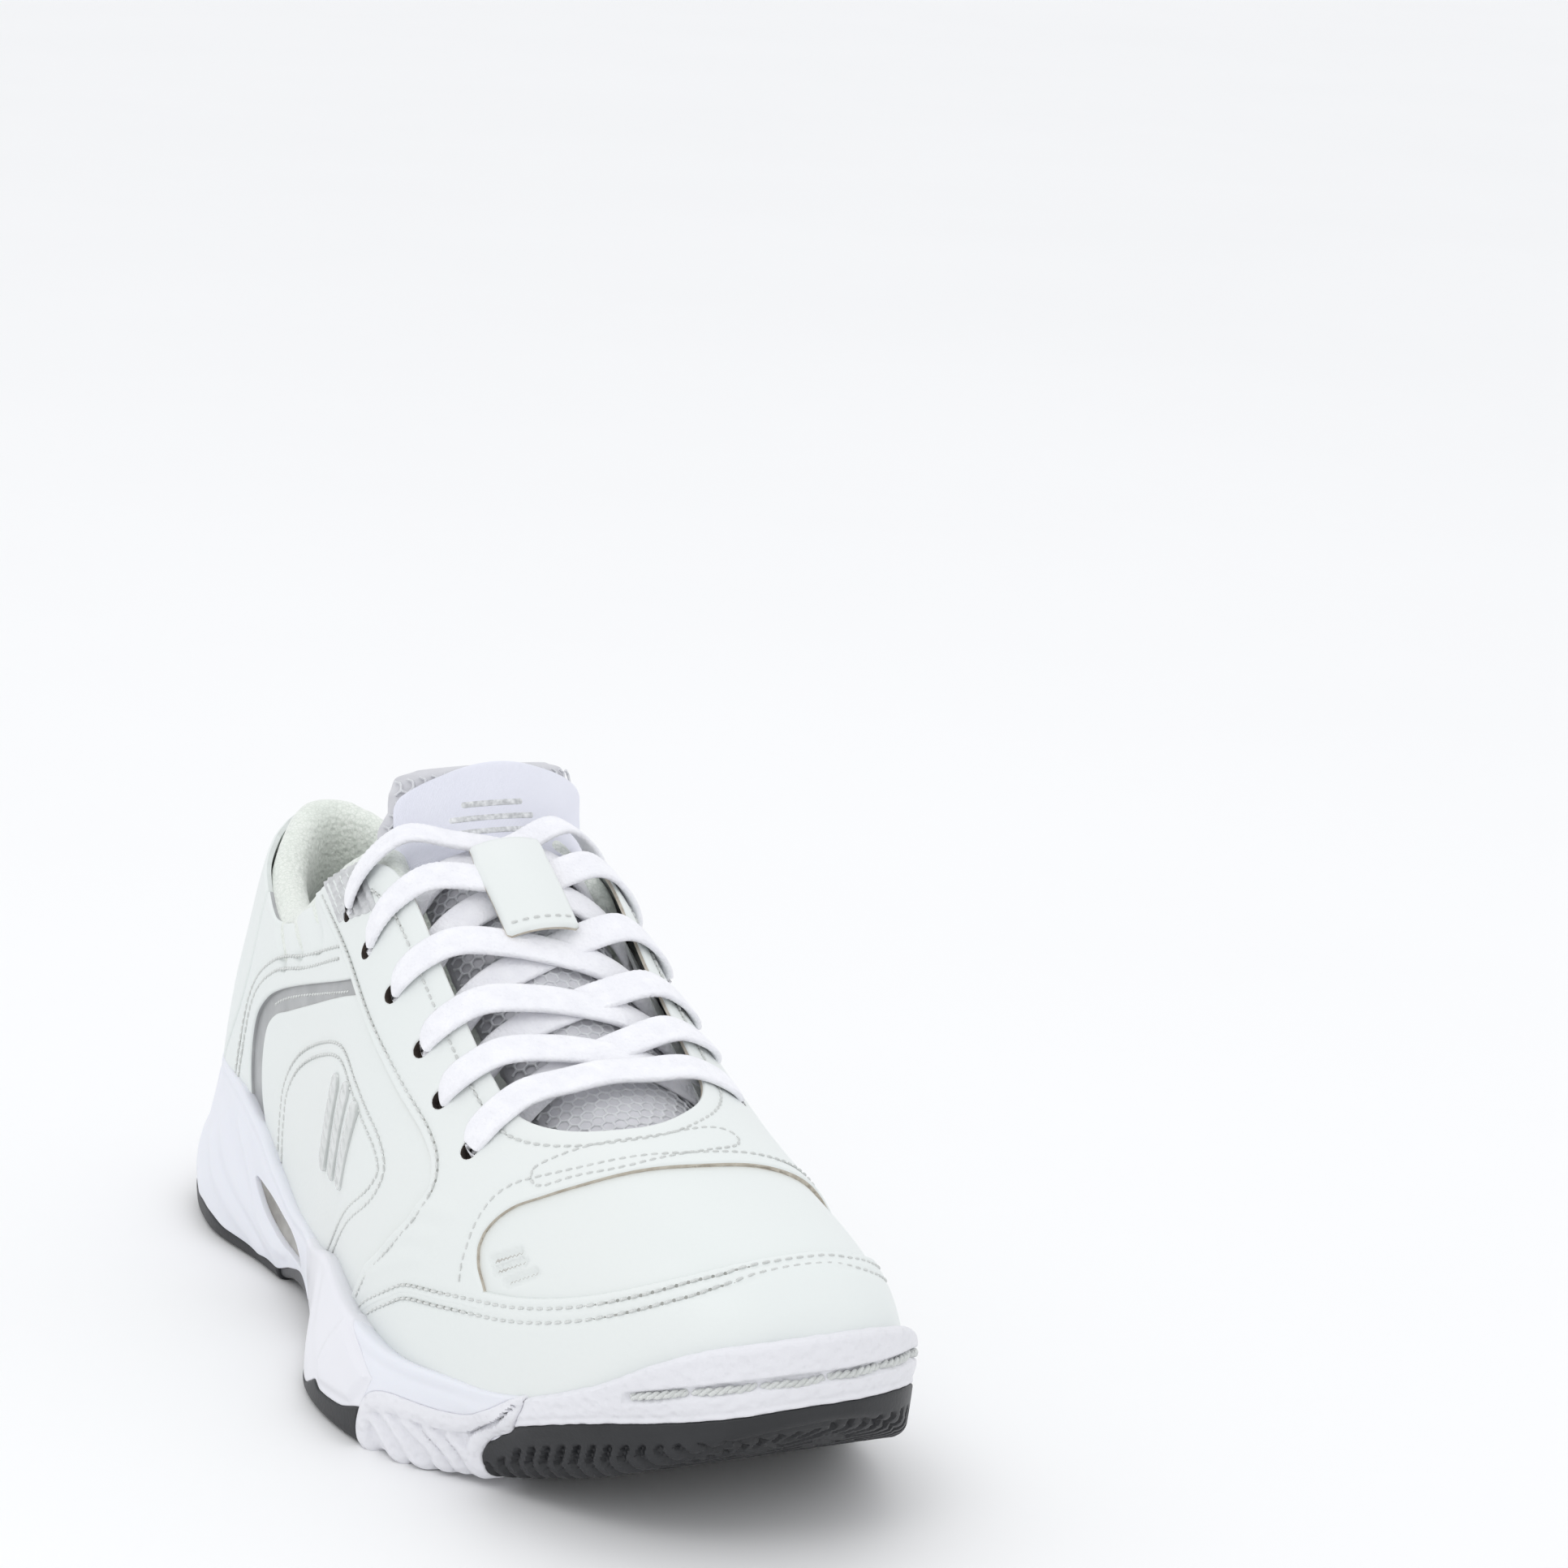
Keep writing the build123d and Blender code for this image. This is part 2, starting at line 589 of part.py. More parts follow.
end_planes = tongue_end_planes()
end_foam = tongue_skin + 7.0
label_above_fold = 3.0
label_sunk = 0.3                       # how deep the sewn label presses into the padding
label = trimmed(crescent_loft(end_planes, -0.9, label_sunk, 1.5),
                drop=[behind_fold(-label_above_fold)])
finish_node("tongue_end_foam", trimmed(crescent_loft(end_planes, 0.0, end_foam, 0.0), drop=[label]))
finish_node("tongue_end_lining", crescent_loft(end_planes, end_foam, end_foam + 1.2, 0.0))
finish_node("tongue_label", label)

# ---------------------------------------------------------------- lace
# A strand is a list of (fraction of the way across, depth of the lace's middle below the
# leather's face). The negative depths lie on the leather, the others over the tongue.
over_edge = -lace_thick / 2 - 1.1
over_patch = over_edge - 1.2           # on the raised patch of the top eyelet
under_edge = 6.0                       # between lining and tongue
CROSSING_UNDER = [(0.0, under_edge), (0.13, 5.6), (0.3, 4.8), (0.5, 4.4), (0.7, 1.4), (0.86, over_edge)]
CROSSING_TOP = [(0.0, under_edge), (0.13, 5.6), (0.3, 3.6), (0.5, 2.4), (0.7, 0.0), (0.86, over_edge)]
BAR = [(0.0, over_edge), (0.14, over_edge), (0.5, -0.4), (0.86, over_edge)]
strand_bend = 3.0
slope_span = 3.0                       # half the stretch over which a slope is taken


def slopes(t, x):
    """Slope of the upper's outer face towards the toe and across."""
    along = envelope_height(t + slope_span, x) - envelope_height(t - slope_span, x)
    across = envelope_height(t, x + 1) - envelope_height(t, x - 1)
    return along / (2 * slope_span), across / 2


def on_upper(t, x, depth=0.0):
    """Point at a depth below the leather's face, measured square to it."""
    along, across = slopes(t, x)
    inwards = -Vector(-across, along, 1).normalized()
    return Vector(foot_axis_x + x, y_at(t), envelope_height(t, x)) + inwards * depth


def strand(start, end, profile, last):
    """Flat lace between two eyelets, each (station, x): a planar run over the tongue."""
    origin = on_upper(*start)
    across = (on_upper(*end) - origin).normalized()
    throat_rise = -math.atan((slopes(*start)[0] + slopes(*end)[0]) / 2)
    crest_normal = Vector(0, -math.sin(throat_rise), math.cos(throat_rise))
    up = (crest_normal - across * crest_normal.dot(across)).normalized()
    points = []
    for f, depth in [*profile, (1.0, last)]:
        t = start[0] + f * (end[0] - start[0])
        x = start[1] + f * (end[1] - start[1])
        offset = on_upper(t, x, depth) - origin
        points.append((offset.dot(across), offset.dot(up)))
    plane = Plane(origin=origin, x_dir=across, z_dir=across.cross(up))
    with BuildPart() as ribbon:
        with BuildLine(plane) as path:
            FilletPolyline(*points, radius=strand_bend)
        with BuildSketch(Plane(origin=path.line @ 0, x_dir=plane.z_dir, z_dir=path.line % 0)):
            Rectangle(lace_width, lace_thick)
        sweep()
    return ribbon.part


strands = [strand(lateral_eyelets[0], medial_eyelets[0], BAR, over_edge)]
for k in range(len(EYELET_T) - 1):
    last = over_patch if k == len(EYELET_T) - 2 else over_edge
    strands.append(strand(lateral_eyelets[k], medial_eyelets[k + 1], CROSSING_UNDER, last))
    strands.append(strand(medial_eyelets[k], lateral_eyelets[k + 1], CROSSING_TOP, last))

pass_radius = 1.9
pass_length = 8.2
with BuildPart() as passes:
    for t, x in lateral_eyelets + medial_eyelets:
        with Locations(eyelet_plane(t, x).offset(-2.3)):
            Cylinder(pass_radius, pass_length)

# Where the lace goes down inside from the top eyelets: station, and the held stretch between
# the lining and the tongue as (x, z).
tail_station = {"lateral": 112.7, "medial": 121.0}
HELD = {
    "lateral": [(-25.9, 104.6), (-30.0, 94.0), (-30.6, 88.0)],
    "medial": [(23.3, 104.6), (27.5, 94.0), (28.1, 88.0)],
}
with BuildPart() as held:
    for name, route in HELD.items():
        with BuildLine(Plane.XZ.offset(-y_at(tail_station[name]))) as path:
            FilletPolyline(*[(foot_axis_x + x, z) for x, z in route], radius=20)
        with BuildSketch(Plane(origin=path.line @ 0, x_dir=(0, 1, 0), z_dir=path.line % 0)):
            Rectangle(lace_width, lace_thick)
        sweep(path=path.line)
with BuildPart() as lace:
    add(passes.part)
    for ribbon in strands:
        add(ribbon)
    add(held.part)
lace_contacts = ["lateral_eyestay", "medial_eyestay", "lateral_eyelet_patch", "medial_eyelet_patch",
                 "vamp_lining"]
pressed_lace = trimmed(lace.part, drop=[finished[name] for name in lace_contacts])
finish_node("lace", max(pressed_lace.solids(), key=lambda solid: solid.volume))

# Free tails: hanging down the inner wall, then lying across the sockliner, as (x, z).
TAIL_ROUTES = {
    "lateral": [(-30.6, 88.0), (-32.35, 70.5), (-31.0, 50.0), (-22.3, 35.6), (-7.5, 28.1),
                (7.0, 28.7)],
    "medial": [(28.1, 88.0), (29.75, 71.5), (29.2, 51.5), (21.0, 36.4), (5.4, 28.4), (-9.0, 28.9)],
}
AGLET = (22.0, 4.2, 2.2)               # length, width and thickness of the lace's end sleeve


def corner_radii(points):
    """Bend radius at each corner of a route: 0.45 of its shorter run over the half turn's tangent."""
    corners = [Vector(*p) for p in points]
    radii = []
    for a, b, c in zip(corners, corners[1:], corners[2:]):
        turn = math.radians((b - a).get_angle(c - b))
        radii.append(0.45 * min((b - a).length, (c - b).length) / math.tan(turn / 2))
    return radii


for name, route in TAIL_ROUTES.items():
    radii = corner_radii(route)
    points = [(foot_axis_x + x, z) for x, z in route]
    with BuildPart() as tail:
        with BuildLine(Plane.XZ.offset(-y_at(tail_station[name]))) as path:
            FilletPolyline(*points, radius=radii)
        with BuildSketch(Plane(origin=path.line @ 0, x_dir=(0, 1, 0), z_dir=path.line % 0)):
            Rectangle(lace_width, lace_thick)
        sweep(path=path.line)
    length = path.wires()[0].length
    print(f"{name} tail: radii {[round(r, 1) for r in radii]}, length {length:.1f},"
          f" volume ratio {tail.part.volume / (length * lace_width * lace_thick):.4f}")
    finish_node(f"lace_tail_{name}", tail.part)
    end, heading = path.line @ 1, path.line % 1
    sleeve_plane = Plane(origin=end, x_dir=(0, 1, 0), z_dir=heading)
    with BuildPart() as aglet:
        with BuildSketch(sleeve_plane):
            RectangleRounded(AGLET[1], AGLET[2], 0.9)
        extrude(amount=AGLET[0])
    finish_node(f"lace_aglet_{name}", aglet.part)

# ---------------------------------------------------------------- lace keeper on the tongue
keeper_low, keeper_high = 0.9, 2.1     # heights of the strap's two faces over the leather's face
keeper_half_width = 10.0
keeper_x = -2.0
KEEPER = (133.2, 153.2)                # stations of its ends, where it goes down to the tongue
keeper_fold = 2.0                      # thickness of the two ends
keeper_plate = trimmed(upper_layer(-keeper_high, -keeper_low), keep=[station_slice(*KEEPER)])
keeper_depth = upper_layer(-keeper_low, tongue_depth)
with BuildPart() as keeper_column:
    with BuildSketch(Plane.XY.offset(60)):
        with Locations((foot_axis_x + keeper_x, y_at(sum(KEEPER) / 2))):
            Rectangle(2 * keeper_half_width, 60)
    extrude(amount=100)
with BuildPart() as keeper:
    add(keeper_plate)
    add(trimmed(keeper_depth, keep=[station_slice(KEEPER[0], KEEPER[0] + keeper_fold)]))
    add(trimmed(keeper_depth, keep=[station_slice(KEEPER[1] - keeper_fold, KEEPER[1])]))
    add(keeper_column.part, mode=Mode.INTERSECT)
finish_node("lace_keeper", trimmed(keeper.part, drop=[finished["lace"]]))
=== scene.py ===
"""Looks of the court shoe: every visible piece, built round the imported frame.

The shoe's own coordinates, in mm: station t from the back of the heel, x from the foot's axis
(lateral side negative) and height z. Everything is turned into the row frame, in metres, at the end.
"""
import bpy
import math
import numpy as np
from mathutils.kdtree import KDTree
from mathutils import Matrix, Vector


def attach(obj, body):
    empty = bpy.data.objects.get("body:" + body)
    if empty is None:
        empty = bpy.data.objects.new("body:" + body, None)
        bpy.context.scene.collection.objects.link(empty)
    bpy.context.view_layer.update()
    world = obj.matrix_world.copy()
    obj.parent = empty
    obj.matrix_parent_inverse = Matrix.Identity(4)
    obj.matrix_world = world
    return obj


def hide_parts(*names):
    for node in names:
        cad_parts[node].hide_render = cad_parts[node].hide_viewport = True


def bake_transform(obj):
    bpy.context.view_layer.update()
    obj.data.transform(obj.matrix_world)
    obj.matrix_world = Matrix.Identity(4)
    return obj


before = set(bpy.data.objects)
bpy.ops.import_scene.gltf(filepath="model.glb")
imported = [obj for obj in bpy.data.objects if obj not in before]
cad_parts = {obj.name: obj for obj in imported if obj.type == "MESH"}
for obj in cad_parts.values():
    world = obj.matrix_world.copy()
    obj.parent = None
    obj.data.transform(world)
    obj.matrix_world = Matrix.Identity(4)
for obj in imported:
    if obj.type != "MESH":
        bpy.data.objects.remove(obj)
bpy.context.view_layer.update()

MM = 0.001
HALF_LENGTH = 144.5
FOOT_AXIS_X = 4.9
SHOE, TONGUE_END = "shoe", "tongue_end"
SIDES = {"lateral": -1, "medial": 1}

# Upper: station, lean, lateral and medial half width, crest x and z, feather z, section powers.
UPPER = np.array([
    (0.0, 5.0, 0.0, 0.0, 0.0, 120.0, 30.0, 2.4, 2.0),
    (3.0, 5.0, 9.0, 9.0, 0.0, 120.0, 30.0, 2.4, 2.0),
    (7.0, 5.0, 14.6, 14.6, 0.0, 120.0, 30.0, 2.4, 2.0),
    (16.0, 4.0, 22.8, 22.8, 0.0, 120.0, 30.0, 2.4, 2.0),
    (32.0, 3.0, 31.0, 30.5, 0.0, 120.5, 28.5, 2.4, 2.0),
    (60.0, 1.0, 34.3, 33.5, 0.0, 122.5, 25.5, 2.8, 2.3),
    (95.0, 0.0, 37.0, 35.0, 0.0, 126.0, 21.0, 3.6, 3.0),
    (130.0, 0.0, 43.5, 39.0, 0.0, 121.5, 18.6, 3.5, 2.9),
    (165.0, 0.0, 50.5, 43.5, -1.5, 103.0, 17.5, 2.9, 2.5),
    (200.0, 0.0, 52.5, 48.5, -2.0, 86.5, 17.0, 2.5, 2.2),
    (232.0, 0.0, 46.5, 48.0, 1.0, 76.0, 19.0, 2.4, 2.2),
    (256.0, 0.0, 36.5, 44.0, 5.0, 69.0, 24.0, 2.4, 2.2),
    (272.0, 0.0, 24.0, 36.5, 9.0, 62.0, 29.0, 2.4, 2.2),
    (281.0, 0.0, 12.0, 27.0, 10.0, 55.0, 33.0, 2.4, 2.2),
    (285.0, 0.0, -2.0, 20.0, 10.5, 48.0, 35.0, 2.4, 2.2),
])


# ---------------------------------------------------------------- curves and tables
def smooth(xs, ys):
    """Function through points without overshoot (monotone cubic)."""
    xs, ys = np.asarray(xs, float), np.asarray(ys, float)
    step, slope = np.diff(xs), np.diff(ys) / np.diff(xs)
    left, right = slope[:-1], slope[1:]
    wl, wr = 2 * step[1:] + step[:-1], step[1:] + 2 * step[:-1]
    with np.errstate(divide="ignore", invalid="ignore"):
        inner = np.where(left * right > 0, (wl + wr) / (wl / left + wr / right), 0.0)
    tangent = np.concatenate([[slope[0]], inner, [slope[-1]]])

    def at(x):
        x = np.clip(x, xs[0], xs[-1])
        k = np.clip(np.searchsorted(xs, x, side="right") - 1, 0, len(step) - 1)
        h = step[k]
        f = (x - xs[k]) / h
        return ((1 + 2 * f) * (1 - f) ** 2 * ys[k] + f * (1 - f) ** 2 * h * tangent[k]
                + f * f * (3 - 2 * f) * ys[k + 1] + f * f * (f - 1) * h * tangent[k + 1])
    return at


def through(points, pitch=1.5, closed=False):
    """Evenly spaced points, pitch apart, on a smooth curve through the given ones (Catmull-Rom)."""
    p = np.asarray(points, float)
    if closed:
        p = np.vstack([p[-1:], p, p[:2]])
    else:
        p = np.vstack([2 * p[0] - p[1], p, 2 * p[-1] - p[-2]])
    steps = np.linspace(0, 1, 24, endpoint=False)[:, None]
    spans = []
    for a, b, c, d in zip(p, p[1:], p[2:], p[3:]):
        k0, k1, k2 = (max(math.dist(m, n), 1e-6) ** 0.5 for m, n in ((a, b), (b, c), (c, d)))
        m1 = k1 * ((b - a) / k0 - (c - a) / (k0 + k1)) + (c - b)
        m2 = k1 * ((d - c) / k2 - (d - b) / (k1 + k2)) + (c - b)
        spans.append(b + steps * m1 + steps ** 2 * (3 * (c - b) - 2 * m1 - m2)
                     + steps ** 3 * (2 * (b - c) + m1 + m2))
    dense = np.vstack(spans + [p[-2:-1] if not closed else p[1:2]])
    return even(dense, pitch)


def even(line, pitch):
    """The same line with its points pitch apart."""
    run = np.concatenate([[0], np.cumsum(np.linalg.norm(np.diff(line, axis=0), axis=1))])
    count = max(int(round(run[-1] / pitch)), 2)
    at = np.linspace(0, run[-1], count + 1)
    return np.stack([np.interp(at, run, line[:, k]) for k in range(line.shape[1])], -1)


def distance(a, b, line):
    """Distance of points (a, b) from a polyline, and whether they are inside it when closed."""
    shape = np.shape(a)
    a, b = np.ravel(a), np.ravel(b)
    best = np.full(a.shape, 1e9)
    inside = np.zeros(a.shape, bool)
    for (a0, b0), (a1, b1) in zip(line, line[1:]):
        da, db = a1 - a0, b1 - b0
        f = np.clip(((a - a0) * da + (b - b0) * db) / (da * da + db * db + 1e-12), 0, 1)
        np.minimum(best, (a - a0 - f * da) ** 2 + (b - b0 - f * db) ** 2, out=best)
        if b0 != b1:
            cross = (b0 > b) != (b1 > b)
            inside ^= cross & (a < a0 + (b - b0) * da / db)
    return np.sqrt(best).reshape(shape), inside.reshape(shape)


def rows(t, x, z):
    """Shoe coordinates in mm as row coordinates in metres."""
    t, x, z = np.broadcast_arrays(np.asarray(t, float), np.asarray(x, float), np.asarray(z, float))
    return np.stack([(x + FOOT_AXIS_X), HALF_LENGTH - t, z], -1) * MM


# ---------------------------------------------------------------- the upper's skin
class Skin:
    """The upper's outer face as a grid of points (t, x, z) with unit normals."""

    def __init__(self):
        heel = 16 * np.linspace(0, 1, 26) ** 2
        stations = np.concatenate([heel, np.arange(17, 270, 0.95), np.linspace(270, 285, 24)])
        key = np.sqrt(UPPER[:, 0])
        lean, lateral, medial, cx, cz, fz, side_power, top_power = (
            smooth(key, UPPER[:, k])(np.sqrt(stations))[:, None] for k in range(1, 9))
        angle = np.linspace(0, math.pi, 420)[None, :]
        c, s = np.cos(angle), np.sin(angle)
        half = np.where(c > 0, lateral + cx, medial - cx)
        x = cx - np.sign(c) * half * np.abs(c) ** (2 / side_power)
        v = fz + (cz - fz) * np.abs(s) ** (2 / top_power)
        tilt = np.radians(lean)
        t = stations[:, None] - fz * np.tan(tilt) + v * np.sin(tilt)
        z = v * np.cos(tilt)
        t = t + smooth([20, 40, 60, 80, 100, 112], [0, -1, 1, 5, 4, 3])(z) * np.exp(-(t / 45) ** 2)
        columns = 330
        grid = []
        for row in np.stack([t, x, z], -1):
            grid.append(even_count(row, columns))
        self.p = np.array(grid)
        self.half = columns // 2
        self.measure()

    def measure(self):
        self.du = np.gradient(self.p, axis=0)
        self.dv = np.gradient(self.p, axis=1)
        n = np.cross(self.du, self.dv)
        n /= np.linalg.norm(n, axis=2, keepdims=True) + 1e-12
        n[0] = n[1]
        if n[len(self.p) // 2, self.half, 2] < 0:
            n = -n
        self.n = n

    def true(self, d):
        """A field's value over its slope along the skin: a distance measured on the leather."""
        gu, gv = np.gradient(d)
        e = (self.du ** 2).sum(2)
        f = (self.du * self.dv).sum(2)
        g = (self.dv ** 2).sum(2)
        det = np.maximum(e * g - f * f, 1e-9)
        slope = np.sqrt(np.maximum((g * gu * gu - 2 * f * gu * gv + e * gv * gv) / det, 1e-4))
        return d / np.clip(slope, 0.35, 1.6)

    def side(self, sign):
        """Mask of the columns on one side of the crest."""
        mask = np.zeros(self.p.shape[:2], bool)
        if sign < 0:
            mask[:, :self.half + 1] = True
        else:
            mask[:, self.half:] = True
        return mask

    def find(self, view, sign, points):
        """Grid coordinates of points seen in the side view (t, z) or in plan (t, x)."""
        axes = (0, 2) if view == "side" else (0, 1)
        mask = self.side(sign) if view == "side" else np.ones(self.p.shape[:2], bool)
        index = np.argwhere(mask)
        flat = self.p[mask][:, axes]
        found = []
        for q in np.asarray(points, float):
            i, j = index[np.argmin(((flat - q) ** 2).sum(1))]
            jac = np.stack([self.du[i, j, axes], self.dv[i, j, axes]], 1)
            gap = q - self.p[i, j, axes]
            det = np.linalg.det(jac)
            step = np.linalg.solve(jac, gap) if abs(det) > 1e-3 else np.zeros(2)
            found.append((i + np.clip(step[0], -1, 1), j + np.clip(step[1], -1, 1)))
        return np.array(found)

    def sample(self, field, at):
        i = np.clip(at[:, 0], 0, field.shape[0] - 1.001)
        j = np.clip(at[:, 1], 0, field.shape[1] - 1.001)
        i0, j0 = i.astype(int), j.astype(int)
        fi, fj = (i - i0), (j - j0)
        if field.ndim == 3:
            fi, fj = fi[:, None], fj[:, None]
        return ((1 - fi) * (1 - fj) * field[i0, j0] + fi * (1 - fj) * field[i0 + 1, j0]
                + (1 - fi) * fj * field[i0, j0 + 1] + fi * fj * field[i0 + 1, j0 + 1])


def even_count(line, count):
    """The same line as count evenly spaced points."""
    run = np.concatenate([[0], np.cumsum(np.linalg.norm(np.diff(line, axis=0), axis=1))])
    at = np.linspace(0, run[-1], count)
    return np.stack([np.interp(at, run, line[:, k]) for k in range(3)], -1)


skin = Skin()
T, X, Z = skin.p[..., 0], skin.p[..., 1], skin.p[..., 2]
ALL = np.ones(T.shape, bool)


def region(view, outline, on=skin):
    """Signed distance on a skin from an outline, negative inside."""
    first, second = on.p[..., 0], on.p[..., 2 if view == "side" else 1]
    d, inside = distance(first, second, np.vstack([outline, outline[:1]]))
    return on.true(np.where(inside, -d, d))


def band(view, line, width, where=ALL, on=skin):
    """How near a skin is to an open line: 1 on it, 0 beyond width, in a soft bell."""
    first, second = on.p[..., 0], on.p[..., 2 if view == "side" else 1]
    low, high = line.min(0) - 3 * width, line.max(0) + 3 * width
    near = where & (first > low[0]) & (first < high[0]) & (second > low[1]) & (second < high[1])
    out = np.zeros(first.shape)
    d, _ = distance(first[near], second[near], line)
    out[near] = np.exp(-(d / width) ** 2)
    return out


# ---------------------------------------------------------------- meshes
def mesh_object(name, points, faces, materials, face_material=None, sharp=40, smooth_shade=True):
    """Mesh object from points in metres."""
    mesh = bpy.data.meshes.new(name)
    mesh.from_pydata(np.asarray(points).tolist(), [], faces)
    for material in materials:
        mesh.materials.append(material)
    if face_material is not None:
        mesh.polygons.foreach_set("material_index", np.asarray(face_material, np.int32))
    mesh.validate()
    mesh.update()
    if smooth_shade:
        mesh.shade_smooth()
        mesh.set_sharp_from_angle(angle=math.radians(sharp))
    obj = bpy.data.objects.new(name, mesh)
    bpy.context.collection.objects.link(obj)
    return obj


def place(obj, body, slot, *nodes):
    """Put a piece on its body and hide the CAD nodes that it stands for; slot is not used."""
    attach(obj, body)
    if nodes:
        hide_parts(*nodes)
    return obj


def cut_cells(d, levels):
    """Faces of the grid where d < 0, split along d = each level: corners as grid coordinates."""
    rows_n, cols_n = d.shape
    corner = np.stack([d[:-1, :-1], d[1:, :-1], d[1:, 1:], d[:-1, 1:]], -1)
    touched = corner.min(-1) < 0
    straddle = touched & (corner.max(-1) > min(levels))
    plain = np.argwhere(touched & ~straddle)
    base = np.arange(rows_n * cols_n).reshape(rows_n, cols_n)
    faces = [tuple(q) for q in np.stack([
        base[plain[:, 0], plain[:, 1]], base[plain[:, 0] + 1, plain[:, 1]],
        base[plain[:, 0] + 1, plain[:, 1] + 1], base[plain[:, 0], plain[:, 1] + 1]], -1)]
    value = list(d.ravel())
    place_of = [(i, j) for i in range(rows_n) for j in range(cols_n)]
    made = {}

    def crossing(a, b, level):
        key = (min(a, b), max(a, b), level)
        if key not in made:
            f = (level - value[a]) / (value[b] - value[a])
            f = min(max(f, 0.0), 1.0)
            pa, pb = place_of[a], place_of[b]
            place_of.append((pa[0] + f * (pb[0] - pa[0]), pa[1] + f * (pb[1] - pa[1])))
            value.append(level)
            made[key] = len(value) - 1
        return made[key]

    def split(loop, level):
        low, high = [], []
        for a, b in zip(loop, loop[1:] + loop[:1]):
            va, vb = value[a] - level, value[b] - level
            if va <= 0:
                low.append(a)
            if va >= 0:
                high.append(a)
            if va * vb < 0:
                mid = crossing(a, b, level)
                low.append(mid)
                high.append(mid)
        return low, high

    for i, j in np.argwhere(straddle):
        pieces = [[int(base[i, j]), int(base[i + 1, j]), int(base[i + 1, j + 1]), int(base[i, j + 1])]]
        for level in levels:
            parted = []
            for loop in pieces:
                low, high = split(loop, level)
                if len(low) > 2 and min(value[a] for a in low) < level:
                    parted.append(low)
                if level < 0 and len(high) > 2 and max(value[a] for a in high) > level:
                    parted.append(high)
            pieces = parted
        faces += [tuple(loop) for loop in pieces]
    return faces, place_of, value


def panel(name, d, height, thickness, materials, roll=0.7, depth=0.45, sharp=50, on=skin):
    """A closed piece of material lying on a skin where d < 0, with a rolled edge.

    height is the lift of its face over the skin, in mm, on the grid."""
    levels = [0.0, -0.35 * roll, -roll]
    faces, spots, value = cut_cells(d, levels)
    used = np.unique(np.concatenate([np.array(f) for f in faces]))
    new = np.full(len(spots), -1)
    new[used] = np.arange(len(used))
    at = np.array(spots, float)[used]
    edge = np.clip(1 + np.array(value)[used] / roll, 0, 1)
    drop = depth * (1 - np.sqrt(1 - edge ** 2))
    base, normal = on.sample(on.p, at), on.sample(on.n, at)
    normal /= np.linalg.norm(normal, axis=1, keepdims=True)
    lift = on.sample(height, at) if np.ndim(height) else np.full(len(at), float(height))
    top = base + normal * (lift - drop)[:, None]
    under = base + normal * (np.minimum(lift, np.median(lift)) - thickness)[:, None]
    count = len(used)
    top_faces = [tuple(int(new[a]) for a in f) for f in faces]
    seen = {}
    for f in top_faces:
        for a, b in zip(f, f[1:] + f[:1]):
            if (b, a) in seen:
                del seen[(b, a)]
            else:
                seen[(a, b)] = True
    walls = [(b, a, a + count, b + count) for a, b in seen]
    bottom = [tuple(a + count for a in reversed(f)) for f in top_faces]
    all_faces = top_faces + walls + bottom
    points = np.vstack([top, under])
    kinds = [0] * len(top_faces) + [min(1, len(materials) - 1)] * len(walls) + [0] * len(bottom)
    obj = mesh_object(name, rows(*points.T), flip_if_inward(points, top_faces, all_faces, normal),
                      materials, kinds, sharp)
    return obj


def flip_if_inward(points, top_faces, all_faces, normal):
    """Faces wound so that the first ones look along the skin's normals."""
    a, b, c = (points[top_faces[len(top_faces) // 2][k]] for k in range(3))
    # The row frame mirrors t, so a face that looks outwards there is wound the other way here.
    outward = np.dot(np.cross(b - a, c - a), normal[top_faces[len(top_faces) // 2][0]]) < 0
    return all_faces if outward else [tuple(reversed(f)) for f in all_faces]


